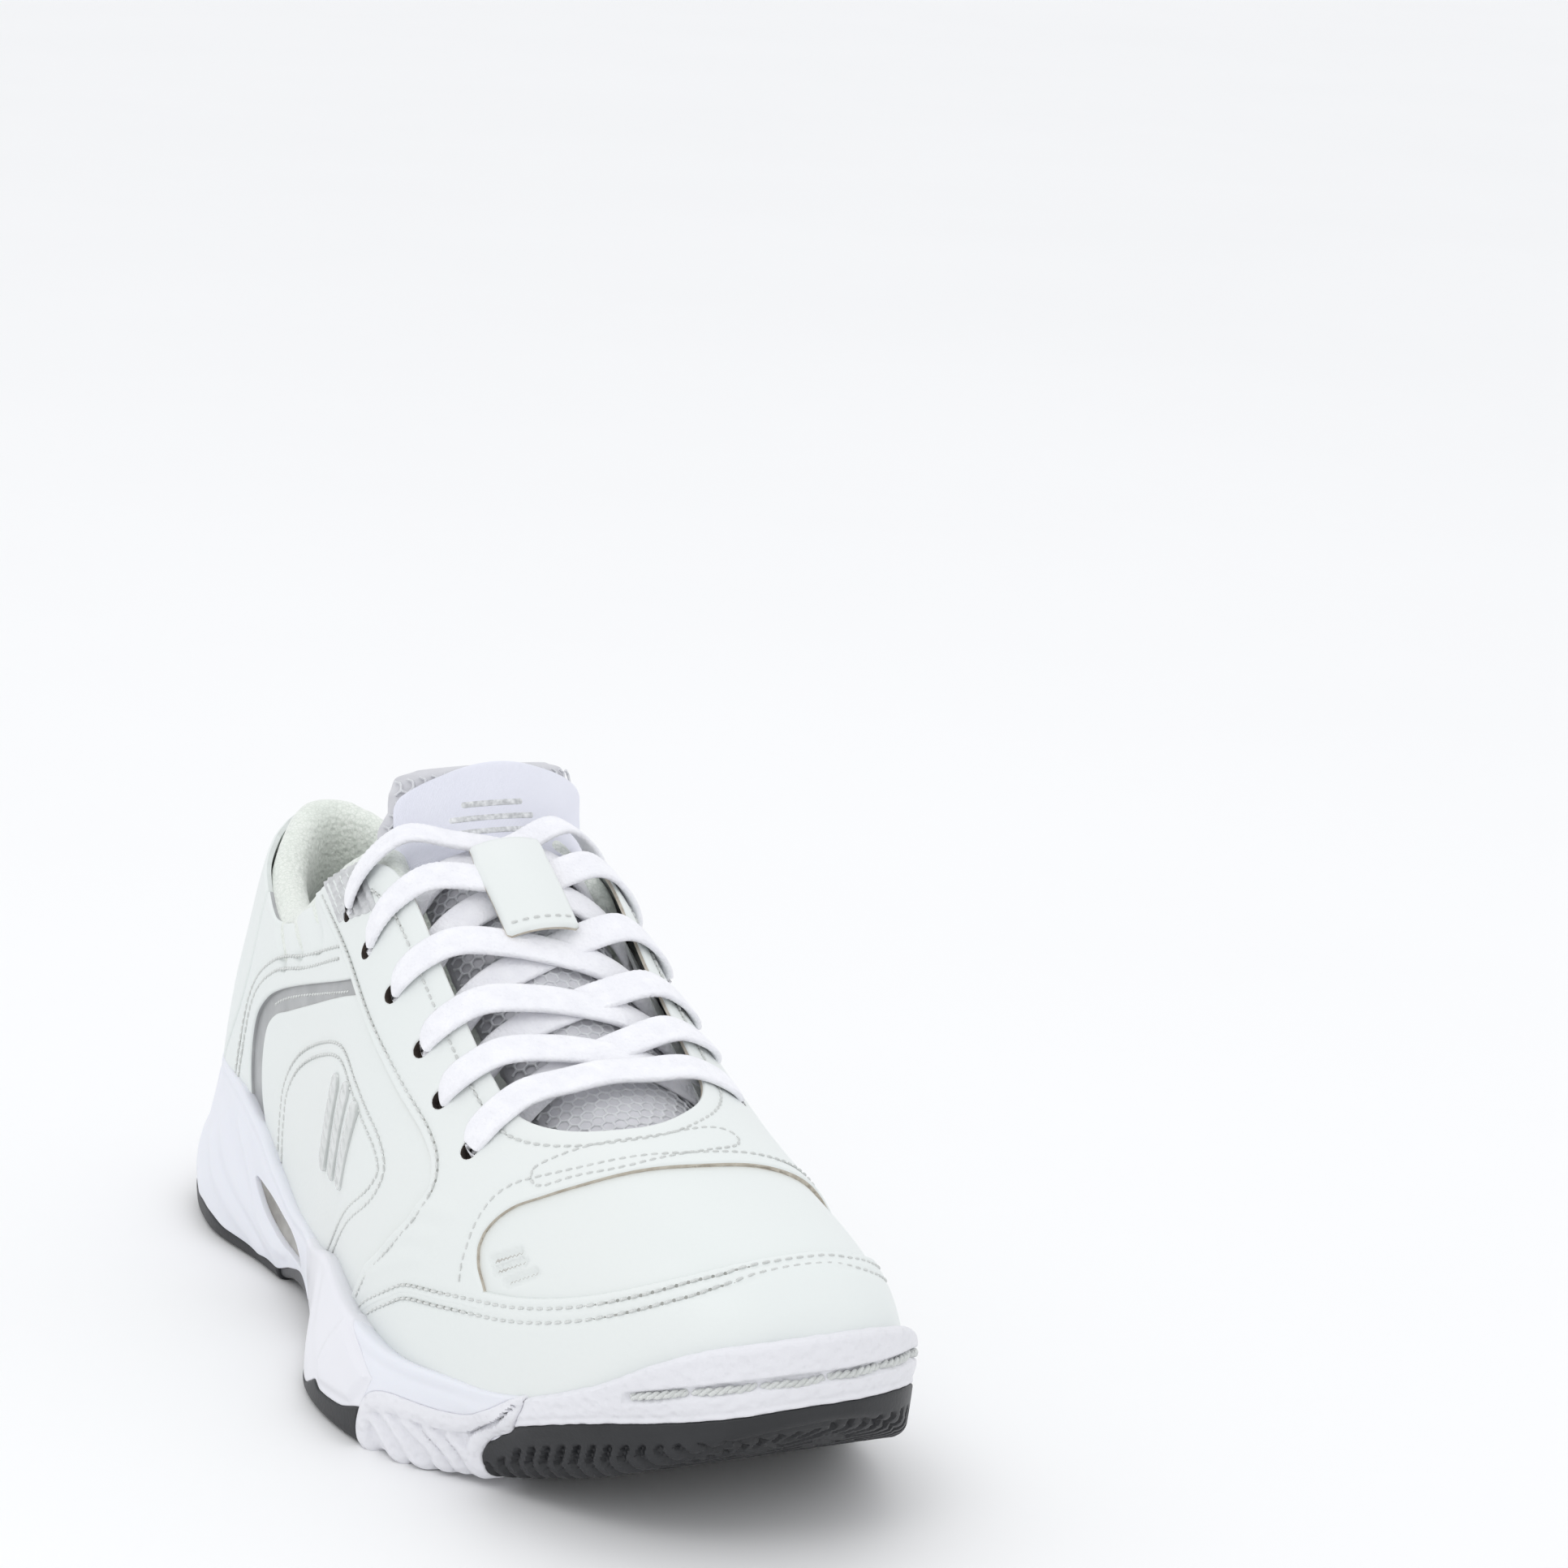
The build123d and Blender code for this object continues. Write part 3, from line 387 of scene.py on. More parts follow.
# ---------------------------------------------------------------- materials
def finish(name, colour, roughness, grain=(), tint=None, spots=None, **settings):
    """Procedural material: grain is a list of (texture, scale per metre, depth in mm);
    tint is (scale, second colour); spots is (scale, low, high, second colour) from cells."""
    material = bpy.data.materials.new(name)
    material.use_nodes = True
    tree = material.node_tree
    shader = tree.nodes["Principled BSDF"]
    shader.inputs["Roughness"].default_value = roughness
    shader.inputs["Base Color"].default_value = (*colour, 1)
    for key, value in settings.items():
        shader.inputs[key.replace("_", " ")].default_value = value
    where = tree.nodes.new("ShaderNodeTexCoord").outputs["Object"]

    def texture(kind, scale):
        if kind == "weave":
            node = tree.nodes.new("ShaderNodeTexWave")
            node.inputs["Distortion"].default_value = 0.6
            node.inputs["Detail"].default_value = 1.0
            out = node.outputs["Fac"]
        elif kind in ("cells", "pebble"):
            node = tree.nodes.new("ShaderNodeTexVoronoi")
            node.feature = "DISTANCE_TO_EDGE" if kind == "cells" else "SMOOTH_F1"
            out = node.outputs["Distance"]
        else:
            node = tree.nodes.new("ShaderNodeTexNoise")
            node.inputs["Detail"].default_value = 4.0
            out = node.outputs["Fac"]
        node.inputs["Scale"].default_value = scale
        tree.links.new(where, node.inputs["Vector"])
        return out

    def blend_colour(factor, first, second):
        mix = tree.nodes.new("ShaderNodeMix")
        mix.data_type = "RGBA"
        tree.links.new(factor, mix.inputs["Factor"])
        if isinstance(first, tuple):
            mix.inputs[6].default_value = (*first, 1)
        else:
            tree.links.new(first, mix.inputs[6])
        mix.inputs[7].default_value = (*second, 1)
        return mix.outputs[2]

    def mapped(value, low, high):
        node = tree.nodes.new("ShaderNodeMapRange")
        node.inputs["From Min"].default_value = low
        node.inputs["From Max"].default_value = high
        tree.links.new(value, node.inputs["Value"])
        return node.outputs["Result"]

    colour_out = None
    if tint:
        colour_out = blend_colour(mapped(texture("noise", tint[0]), 0.35, 0.7), colour, tint[1])
    if spots:
        factor = mapped(texture("cells", spots[0]), spots[1], spots[2])
        colour_out = blend_colour(factor, colour_out or colour, spots[3])
    if colour_out:
        tree.links.new(colour_out, shader.inputs["Base Color"])
        rough = tree.nodes.new("ShaderNodeMapRange")
        rough.inputs["To Min"].default_value = roughness * 0.88
        rough.inputs["To Max"].default_value = min(roughness * 1.12, 1.0)
        tree.links.new(texture("noise", 60.0), rough.inputs["Value"])
        tree.links.new(rough.outputs["Result"], shader.inputs["Roughness"])
    last = None
    for kind, scale, depth in grain:
        bump = tree.nodes.new("ShaderNodeBump")
        bump.inputs["Strength"].default_value = 1.0
        bump.inputs["Distance"].default_value = depth * MM
        tree.links.new(texture(kind, scale), bump.inputs["Height"])
        if last:
            tree.links.new(last, bump.inputs["Normal"])
        last = bump.outputs["Normal"]
    if last:
        tree.links.new(last, shader.inputs["Normal"])
    return material


LEATHER = finish("leather", (0.785, 0.812, 0.795), 0.42, [("pebble", 900, 0.035), ("noise", 260, 0.05)],
                 tint=(9, (0.775, 0.815, 0.80)), Coat_Weight=0.12, Coat_Roughness=0.35)
CUT_EDGE = finish("leather_cut_edge", (0.45, 0.40, 0.33), 0.8, [("noise", 2500, 0.1)],
                  tint=(400, (0.62, 0.58, 0.50)))
WHITE_EDGE = finish("leather_soft_edge", (0.70, 0.74, 0.72), 0.6, [("noise", 1800, 0.05)],
                    tint=(300, (0.62, 0.65, 0.63)))
THREAD = finish("thread", (0.80, 0.82, 0.80), 0.55, [("weave", 1500, 0.08)],
                tint=(200, (0.72, 0.74, 0.72)))
SLOT_GREY = finish("slot_floor", (0.48, 0.47, 0.44), 0.85, [("noise", 900, 0.1)],
                   tint=(300, (0.58, 0.57, 0.54)))
# Painted shade: dark grey standing for the shade in each needle hole and under the thread.
STITCH_HOLE_SHADE = finish("stitch_hole_painted_shade", (0.30, 0.31, 0.29), 0.9, [("noise", 900, 0.1)],
                     tint=(300, (0.40, 0.40, 0.38)))
# Painted shade: near black standing for the shade deep inside the punched eyelets.
EYELET_SHADE = finish("eyelet_painted_shade", (0.03, 0.022, 0.018), 0.85, [("noise", 900, 0.1)],
                   tint=(300, (0.06, 0.045, 0.035)))
STRIPE = finish("silver_stripe", (0.33, 0.34, 0.345), 0.38, [("noise", 1500, 0.03)],
                tint=(120, (0.42, 0.43, 0.435)), Metallic=0.25, Sheen_Weight=0.2)
PATCH = finish("silver_patch", (0.50, 0.51, 0.515), 0.32, [("noise", 900, 0.05)],
               tint=(500, (0.68, 0.69, 0.70)), Metallic=0.35, Coat_Weight=0.4)
BADGE = finish("badge_moulding", (0.60, 0.625, 0.61), 0.25, [("noise", 300, 0.05)],
               tint=(90, (0.70, 0.72, 0.71)), Coat_Weight=0.5, Transmission_Weight=0.15)
LACE = finish("lace_weave", (0.86, 0.86, 0.90), 0.85, [("pebble", 1100, 0.22), ("noise", 1600, 0.16)],
              tint=(250, (0.92, 0.92, 0.95)), Sheen_Weight=0.35)
NET = finish("tongue_net", (0.84, 0.85, 0.87), 0.6, [("weave", 1800, 0.06)], tint=(300, (0.74, 0.75, 0.78)))
NET_BASE = finish("tongue_base", (0.58, 0.58, 0.61), 0.8, [("noise", 1600, 0.08)],
                  tint=(200, (0.66, 0.66, 0.69)), Sheen_Weight=0.2)
LABEL = finish("label_satin", (0.84, 0.85, 0.93), 0.5, [("weave", 1100, 0.05), ("noise", 1500, 0.03)],
               tint=(40, (0.80, 0.81, 0.90)), Sheen_Weight=0.3)
SILVER_PRINT = finish("silver_print", (0.50, 0.51, 0.52), 0.35, [("noise", 2500, 0.12)],
                      tint=(900, (0.80, 0.81, 0.82)), Metallic=0.6)
COLLAR_MESH = finish("collar_mesh", (0.80, 0.845, 0.78), 0.45, [("pebble", 800, 0.45), ("noise", 2000, 0.12)],
                     tint=(60, (0.86, 0.885, 0.83)), spots=(900, 0.16, 0.04, (0.72, 0.765, 0.70)),
                     Sheen_Weight=0.4)
LINING = finish("lining_cloth", (0.70, 0.72, 0.70), 0.8, [("weave", 900, 0.1), ("noise", 1500, 0.1)],
                tint=(80, (0.62, 0.64, 0.62)), Sheen_Weight=0.2)
SOCK = finish("sockliner_cloth", (0.72, 0.73, 0.74), 0.85, [("weave", 700, 0.12), ("noise", 1200, 0.1)],
              tint=(60, (0.66, 0.67, 0.68)), Sheen_Weight=0.2)
EVA = finish("midsole_foam", (0.84, 0.84, 0.885), 0.5, [("noise", 700, 0.04)],
             tint=(14, (0.81, 0.81, 0.86)), Subsurface_Weight=0.04)
PEBBLE_RUBBER = finish("white_rubber", (0.80, 0.80, 0.835), 0.55, [("pebble", 520, 0.5), ("noise", 1500, 0.06)],
                       tint=(20, (0.77, 0.77, 0.80)))
WHITE_TPU = finish("white_tpu", (0.82, 0.82, 0.86), 0.38, [("noise", 500, 0.03)],
                   tint=(25, (0.79, 0.79, 0.83)), Coat_Weight=0.15)
SMOKE = finish("smoke_tpu", (0.22, 0.21, 0.19), 0.16, [("noise", 120, 0.08)],
               tint=(70, (0.55, 0.54, 0.50)), Coat_Weight=0.7, Metallic=0.2)
BLACK_RUBBER = finish("outsole_rubber", (0.012, 0.013, 0.015), 0.48, [("noise", 900, 0.08)],
                      tint=(60, (0.022, 0.023, 0.026)))
SHANK = finish("shank_tpu", (0.03, 0.03, 0.035), 0.35, [("noise", 600, 0.05)], tint=(40, (0.05, 0.05, 0.055)))
AGLET_FILM = finish("aglet_film", (0.75, 0.76, 0.80), 0.2, [("noise", 300, 0.05)],
                    tint=(150, (0.82, 0.83, 0.86)), Coat_Weight=0.6)


# ---------------------------------------------------------------- seams of the upper (t, z) or (t, x)
EYESTAY_SEAM = through([(76, 112), (80, 106), (97, 101), (128, 94), (154, 84), (171, 77), (186, 71),
                        (194, 66), (197, 61), (195, 54), (185, 42), (175, 33), (160, 12)])
COLLAR_SEAM = through([(128, 96), (116, 92), (92, 83), (67, 75), (54, 67), (50, 61), (47, 49), (44, 34)])
BELL_SEAM = through([(76, 14), (79, 27), (80, 40), (82, 50), (91, 60), (112, 70), (132, 75), (146, 71.5),
                     (158, 67.5), (168, 63.5), (174, 58), (171, 51), (155, 39), (135, 22)])
STRIPE_TOP = through([(134, 93), (125, 89.5), (73, 72), (62, 66.5), (55.5, 60), (54, 50), (57, 39),
                      (63, 31), (72, 18)])
STRIPE_LOW = through([(134, 88.5), (125, 85.5), (80, 68.5), (70, 64.5), (65, 60), (63.5, 52), (65, 43),
                      (70, 34), (78, 20)])
CAP_SEAM = [(150, 4), (171, 24), (189, 34.5), (197, 38.5), (215, 42), (237, 45.5), (252, 50), (263, 55.5)]
CAP_CREST = (271.5, 62)
HEEL_SEAM = through([(20, 8), (27, 37), (36, 51), (42, 61), (45, 71), (44, 92), (42, 104)])
COLLAR_EDGE = through([(-12, 103), (4, 101), (15, 100), (30, 95), (45, 89), (58, 86), (68, 87.5),
                       (78, 92), (86, 98), (94, 104), (104, 110), (117, 116), (134, 122)])
THROAT = through([(70, -25), (100, -25.5), (130, -26.5), (167, -28), (190, -28.5), (206, -27.5),
                  (217, -20), (222, -9), (221.5, 0), (215, 11), (205, 17.5), (190, 20), (167, 22.5),
                  (130, 25), (100, 25.5), (70, 25)])
WINDOW = through([(244, -45.5), (232, -45), (225, -44.3), (220.5, -44), (218.3, -42.8), (218.8, -40.5),
                  (221.5, -36.5), (226.5, -31), (232, -22), (236.5, -6), (238, 8), (236.5, 24),
                  (232, 34), (229.3, 39), (228.8, 42), (231, 45), (236, 46.5), (246, 47)])
TACK = through([(219, -31), (221, -25), (226, -6), (224.5, 14), (227, 16), (231, 14), (233, 6),
                (233, -15), (228, -25), (223, -32)], closed=True)
PATCH_AREA = [(89, 105.5), (112, 99.5), (131, 107.5), (109, 114)]
EYELETS = {
    "lateral": [(201, -38), (184, -38), (170, -37), (152, -37), (134, -36), (115, -33)],
    "medial": [(201, 29), (184, 30.5), (170, 32), (152, 32.5), (135, 32), (119, 30)],
}
EYELET_RADIUS = 2.5
UNDERLAP = 2.0               # how far a panel runs on under the next one


def smax(a, b, k=2.5):
    """Larger of two fields, rounded where they cross."""
    h = np.clip(0.5 + 0.5 * (a - b) / k, 0, 1)
    return b + (a - b) * h + k * h * (1 - h)


def beyond(line, *closing):
    """The line closed through far points, as one outline."""
    return np.vstack([line, closing])


SIDEWALL = smooth([-20, -4, 20, 50, 70, 85, 102, 125, 150, 172, 200, 225, 245, 262, 279, 300],
                  [36, 38, 41, 41, 36, 29, 23, 24, 29, 26, 24, 25, 28, 35, 46, 56])
mouth = region("side", beyond(COLLAR_EDGE, (134, 175), (-40, 175), (-40, 103)))
throat = region("plan", THROAT)
opening = -smax(-mouth, -throat, 5.0)
hidden = SIDEWALL(T) - 3.0 - Z           # under the sole's rim
cap_line = through(CAP_SEAM + [CAP_CREST, (280, 78)])
cap = region("side", beyond(cap_line, (330, 78), (330, 0), (150, 0)))
front = region("side", beyond(EYESTAY_SEAM, (330, 0), (330, 190), (76, 190)))
heel = region("side", beyond(HEEL_SEAM, (-40, 112), (-40, 8)))
above_stripe = region("side", beyond(STRIPE_TOP, (30, -5), (-40, -5), (-40, 160), (134, 160)))
below_stripe = region("side", beyond(STRIPE_LOW, (78, -5), (260, -5), (260, 88.5)))
window = region("plan", beyond(WINDOW, (300, 53), (300, -52)))
patch = region("side", even(np.array(PATCH_AREA + PATCH_AREA[:1], float), 1.0))

# Every seam: (name, list of (view, side, points)), the stitches' pitch and how wide their groove is.
SEAMS = []


def offset_line(line, amount):
    """A line moved sideways by amount, to its left when going forwards."""
    tangent = np.gradient(line, axis=0)
    tangent /= np.linalg.norm(tangent, axis=1, keepdims=True)
    return line + amount * np.stack([-tangent[:, 1], tangent[:, 0]], -1)


def part_of(line, low, high, axis=0):
    """The points of a line whose first or second value is between two limits."""
    keep = (line[:, axis] > low) & (line[:, axis] < high)
    return line[keep]


eyelet_field = np.full(T.shape, 50.0)
for side, places in EYELETS.items():
    for t, x in places:
        centre = skin.sample(skin.p, skin.find("plan", 0, [(t, x)]))[0]
        gap = np.linalg.norm(skin.p - centre, axis=2)
        eyelet_field = np.minimum(eyelet_field, gap)

grooves = np.zeros(T.shape)


def add_seam(name, stretches, pitch=2.4, groove=0.30, width=0.75, double=0.0):
    """A stitch row; double moves a second row sideways by that much."""
    for k, shift in enumerate([0.0, double] if double else [0.0]):
        path = []
        for view, side, line in stretches:
            moved = offset_line(line, shift) if shift else line
            path.append((view, side, moved))
            mask = skin.side(SIDES[side]) if side else ALL
            np.maximum(grooves, groove * band(view, moved, width, mask), out=grooves)
        SEAMS.append((f"{name}_{k}" if double else name, path, pitch))


for side in SIDES:
    add_seam(f"{side}_eyestay_seam", [("side", side, part_of(EYESTAY_SEAM, 84, 300))], 2.5, 0.32)
    add_seam(f"{side}_collar_seam", [("side", side, part_of(COLLAR_SEAM, 40, 117))], 2.2, 0.25, double=-3.0)
    add_seam(f"{side}_bell_seam", [("side", side, BELL_SEAM)], 2.2, 0.25, double=-3.0)
lateral_throat = part_of(offset_line(THROAT, -4.2), 122, 230)
add_seam("throat_seam", [("plan", "", lateral_throat)], 2.5, 0.28)
add_seam("tack_seam", [("plan", "", np.vstack([TACK, TACK[:2]]))], 2.4, 0.25)
add_seam("window_seam", [("plan", "", offset_line(WINDOW, 4.0))], 2.4, 0.22)


def cap_row(shift):
    """The toe cap's stitch row in the side view, lowered by shift."""
    line = through(CAP_SEAM + [CAP_CREST])
    return offset_line(line, -shift)


for k, shift in enumerate((0.0, 3.0)):
    row = part_of(cap_row(shift), 158, 400)
    for side in SIDES:
        grooves[:] = np.maximum(grooves, 0.3 * band("side", row, 0.75, skin.side(SIDES[side])))
    SEAMS.append((f"toe_cap_seam_{k}", [("side", "lateral", row), ("side", "medial", row[::-1])], 2.7))


# ---------------------------------------------------------------- leather panels
eye_edge = front - 2.3
relief_ribs = np.zeros(T.shape)
for start, end, width in (((84, 98), (98, 91.5), 2.8), ((73, 90), (85, 84.5), 2.4), ((62, 85.5), (73, 79), 2.0)):
    rib = even(np.array([start, end], float), 1.0)
    relief_ribs = np.maximum(relief_ribs, band("side", rib, width))
ridges = np.zeros(T.shape)
for shift, start in ((6.0, 176), (11.5, 178), (17.0, 181)):
    ridge = part_of(offset_line(through(CAP_SEAM), shift), start, start + 26)
    ridges = np.maximum(ridges, band("side", ridge, 2.2, skin.side(-1) | skin.side(1)))
overlay_height = 1.05 - grooves + 0.45 * ridges
flat_height = -grooves


def wear(scale, amount):
    """Very soft unevenness of the leather, in mm."""
    return amount * (np.sin(T / scale + Z / (1.7 * scale)) * np.cos(Z / scale - X / (1.3 * scale)))


soft = wear(13.0, 0.18)

stay = smax(np.maximum(eye_edge, -(opening)), -window)
stay = np.maximum.reduce([stay, -(cap + UNDERLAP), hidden])
stay = np.maximum(stay, EYELET_RADIUS - eyelet_field)
stay_leather = place(panel("eyestay_and_saddle", stay, overlay_height + soft, 1.3, [LEATHER, CUT_EDGE], 0.8, 0.5),
                     SHOE, "leather", "lateral_eyestay", "medial_eyestay", "vamp_saddle")
slots = np.full(T.shape, 50.0)
for a, b in (((224, 52.4), (229.8, 56)), ((226.3, 50.8), (232.2, 54.6)), ((230.5, 49.4), (236.6, 53.4))):
    near = (abs(T - 230) < 14) & (Z > 44) & (Z < 62)
    d, _ = distance(T[near], Z[near], even(np.array([a, b], float), 0.5))
    slots[near] = np.minimum(slots[near], d)
window_height = -0.35 - grooves - 1.0 * np.exp(-(slots / 1.0) ** 4)
place(panel("toe_window", np.maximum(window - 0.4, -(cap + UNDERLAP)), window_height + soft, 1.2,
            [LEATHER, CUT_EDGE], 0.6, 0.3), SHOE, "leather", "vamp_window_panel")
place(panel("window_slots", skin.true(slots - 0.75), -1.15, 0.4, [SLOT_GREY], 0.2, 0.1), SHOE, "leather")
lip = np.maximum(np.abs(window - 0.55) - 0.55, -cap)
place(panel("window_edge", lip, 0.35, 1.0, [CUT_EDGE], 0.3, 0.2), SHOE, "leather")
place(panel("toe_cap", np.maximum(cap - 2.4, hidden), 0.95 - grooves + soft, 1.6, [LEATHER, WHITE_EDGE], 1.6, 0.75),
      SHOE, "leather", "toe_cap")
for side, sign in SIDES.items():
    own = np.where(skin.side(sign), -50.0, 50.0)
    below = np.maximum.reduce([below_stripe, -(front + 1.0), own, -(cap + UNDERLAP), hidden])
    place(panel(f"{side}_quarter_leather", below, flat_height + soft, 1.5, [LEATHER, CUT_EDGE], 0.7, 0.35),
          SHOE, "leather", f"{side}_quarter")
    upper_part = np.maximum.reduce([above_stripe, -(front + 1.0), own, -(heel + 0.5), -opening, hidden])
    place(panel(f"{side}_collar_leather", upper_part, 0.55 - grooves - 1.5 * relief_ribs + soft, 1.6,
                [LEATHER, STRIPE], 0.9, 0.6), SHOE, "leather", f"{side}_collar_panel")
    stripe = np.maximum.reduce([-(above_stripe + 1.5), -(below_stripe + 1.5), -(front + 1.0), own, -(cap + UNDERLAP), hidden])
    place(panel(f"{side}_stripe_inlay", stripe, -0.75, 0.8, [STRIPE], 0.4, 0.2), SHOE, "silver_stripe",
          f"{side}_stripe")
    across = ((T - PATCH_AREA[0][0]) * 6.0 + (Z - PATCH_AREA[0][1]) * 23.0) / 23.8
    ribbed = 1.25 + 0.35 * np.cos(2 * math.pi * across / 2.35)
    plate = np.maximum.reduce([patch, own, -(opening + 1.0),
                               EYELET_RADIUS - eyelet_field])
    place(panel(f"{side}_eyelet_plate", plate, ribbed, 0.8, [PATCH, STRIPE], 0.5, 0.5), SHOE,
          "silver_patch", f"{side}_eyelet_patch")
place(panel("heel_foxing_leather", np.maximum.reduce([heel, -mouth, hidden]), 0.9 + soft, 1.8, [LEATHER, WHITE_EDGE], 0.9, 0.6),
      SHOE, "leather", "heel_foxing")
across, upright = np.abs(X) - 8.0, np.abs(Z - 85.5) - 8.5
tab = np.where(T < 16, np.hypot(np.maximum(across, 0), np.maximum(upright, 0)) - 3.0, 50.0)
hem = 0.3 * np.exp(-((tab + 1.6) / 0.5) ** 2)
place(panel("heel_pull_tab", skin.true(tab), 2.1 - hem + soft, 1.4, [STRIPE, WHITE_EDGE], 0.6, 0.5), SHOE,
      "silver_stripe", "heel_tab")


# ---------------------------------------------------------------- padding by cloth simulation
def soften(obj, voxel, cap, pressure=4.0):
    """Remesh a pad, let it swell under pressure by at most cap (mm), and smooth it."""
    bpy.context.view_layer.objects.active = obj
    remesh = obj.modifiers.new("remesh", "REMESH")
    remesh.mode = "VOXEL"
    remesh.voxel_size = voxel * MM
    apply_all(obj)
    start = np.empty(len(obj.data.vertices) * 3)
    obj.data.vertices.foreach_get("co", start)
    cloth = obj.modifiers.new("cloth", "CLOTH")
    cloth.settings.use_pressure = True
    cloth.settings.uniform_pressure_force = pressure
    cloth.settings.effector_weights.gravity = 0.0
    cloth.settings.quality = 5
    cloth.settings.tension_stiffness = 12.0
    cloth.settings.bending_stiffness = 1.0
    cloth.collision_settings.use_collision = False
    scene = bpy.context.scene
    for step in range(1, 15):
        scene.frame_set(step)
    held = obj.evaluated_get(bpy.context.evaluated_depsgraph_get())
    end = np.empty_like(start)
    held.data.vertices.foreach_get("co", end)
    obj.modifiers.remove(cloth)
    scene.frame_set(1)
    start, end = start.reshape(-1, 3), end.reshape(-1, 3)
    move = end - start
    size = np.linalg.norm(move, axis=1, keepdims=True)
    move *= np.minimum(1.0, cap * MM / np.maximum(size, 1e-9))
    obj.data.vertices.foreach_set("co", (start + move).ravel())
    obj.data.update()
    calm = obj.modifiers.new("calm", "SMOOTH")
    calm.factor, calm.iterations = 0.5, 4
    finer = obj.modifiers.new("finer", "SUBSURF")
    finer.levels = finer.render_levels = 1
    apply_all(obj)
    obj.data.shade_smooth()
    return obj


def apply_all(obj):
    """Bake an object's modifiers into its mesh."""
    graph = bpy.context.evaluated_depsgraph_get()
    baked = bpy.data.meshes.new_from_object(obj.evaluated_get(graph), depsgraph=graph)
    obj.modifiers.clear()
    obj.data = baked


# ---------------------------------------------------------------- stitches
def to_row_vectors(v):
    """Directions (t, x, z) as row directions."""
    return np.stack([v[..., 1], -v[..., 0], v[..., 2]], -1)


def tubes(name, lines, radii, sides, materials, widths=None, flat=None, caps=True):
    """One mesh of many tubes: lines is (n, k, 3) in row metres, radii (k,), frames from flat normals."""
    n, k, _ = lines.shape
    tangent = np.gradient(lines, axis=1)
    tangent /= np.linalg.norm(tangent, axis=2, keepdims=True) + 1e-12
    side = np.cross(tangent, flat)
    side /= np.linalg.norm(side, axis=2, keepdims=True) + 1e-12
    up = np.cross(side, tangent)
    angle = 2 * math.pi * np.arange(sides) / sides
    ring = (np.cos(angle)[None, None, :, None] * side[:, :, None]
            + np.sin(angle)[None, None, :, None] * up[:, :, None])
    points = lines[:, :, None] + ring * np.asarray(radii)[None, :, None, None]
    faces = []
    for s in range(n):
        first = s * k * sides
        for a in range(k - 1):
            for b in range(sides):
                c = (b + 1) % sides
                faces.append((first + a * sides + b, first + a * sides + c,
                              first + (a + 1) * sides + c, first + (a + 1) * sides + b))
        faces.append(tuple(first + b for b in reversed(range(sides))))
        faces.append(tuple(first + (k - 1) * sides + b for b in range(sides)))
    return mesh_object(name, points.reshape(-1, 3), faces, materials, sharp=80)


clear = np.minimum(opening, -hidden)


def seam_frames(name, path, pitch):
    """Points, directions and normals along a seam on the skin, one pitch apart, in (t, x, z)."""
    at = np.vstack([skin.find(view, SIDES.get(side, 0), line) for view, side, line in path])
    for _ in range(2):
        at[1:-1] = (at[:-2] + 2 * at[1:-1] + at[2:]) / 4
    spots = skin.sample(skin.p, at)
    run = np.concatenate([[0], np.cumsum(np.linalg.norm(np.diff(spots, axis=0), axis=1))])
    count = int(run[-1] / pitch)
    marks = np.linspace(0, count * pitch, count + 1)
    at = np.stack([np.interp(marks, run, at[:, 0]), np.interp(marks, run, at[:, 1])], -1)
    shown = skin.sample(clear, at) > 1.3
    if "cap" not in name:
        shown &= skin.sample(cap, at) > 1.0
    first, last = np.flatnonzero(shown)[[0, -1]]
    at = at[first:last + 1]
    return skin.sample(skin.p, at), skin.sample(skin.n, at)


SEAM_LIFT = {"eyestay": 1.05, "collar": 0.55, "bell": 0.0, "cap": 0.95, "throat": 1.05, "tack": 1.05,
             "window": 1.05, "stripe": -0.75}
THREAD_RADIUS = 0.33
STITCH_SHARE = 0.74          # of the pitch that shows as thread
for side in SIDES:
    SEAMS.append((f"{side}_stripe_seam", [("side", side, through([(127, 87.3), (75, 70.2), (66, 65.8)]))], 2.2))
holes_at = []
for name, path, pitch in SEAMS:
    lift = next(v for key, v in SEAM_LIFT.items() if key in name)
    spots, normals = seam_frames(name, path, pitch)
    run = np.diff(spots, axis=0)
    across = np.cross(run, normals[:-1])
    across /= np.linalg.norm(across, axis=1, keepdims=True) + 1e-9
    slant = 0.22 if pitch < 2.3 else 0.08
    shape = []
    for s, h in ((0.0, -0.28), (0.16, 0.06), (0.5, 0.17), (0.84, 0.06), (1.0, -0.28)):
        f = (1 - STITCH_SHARE) / 2 + s * STITCH_SHARE
        shape.append(spots[:-1] + run * f + normals[:-1] * (lift - 0.2 + h)
                     + across * slant * (1 - 2 * s))
    lines = rows(*np.moveaxis(np.stack(shape, 1), -1, 0))
    up = to_row_vectors(np.repeat(normals[:-1, None], 5, 1))
    thread = tubes(name, lines, np.array([0.6, 1, 1.05, 1, 0.6]) * THREAD_RADIUS * MM, 6, [THREAD], flat=up)
    place(thread, SHOE, "thread")
    holes_at.append((spots, normals, lift))


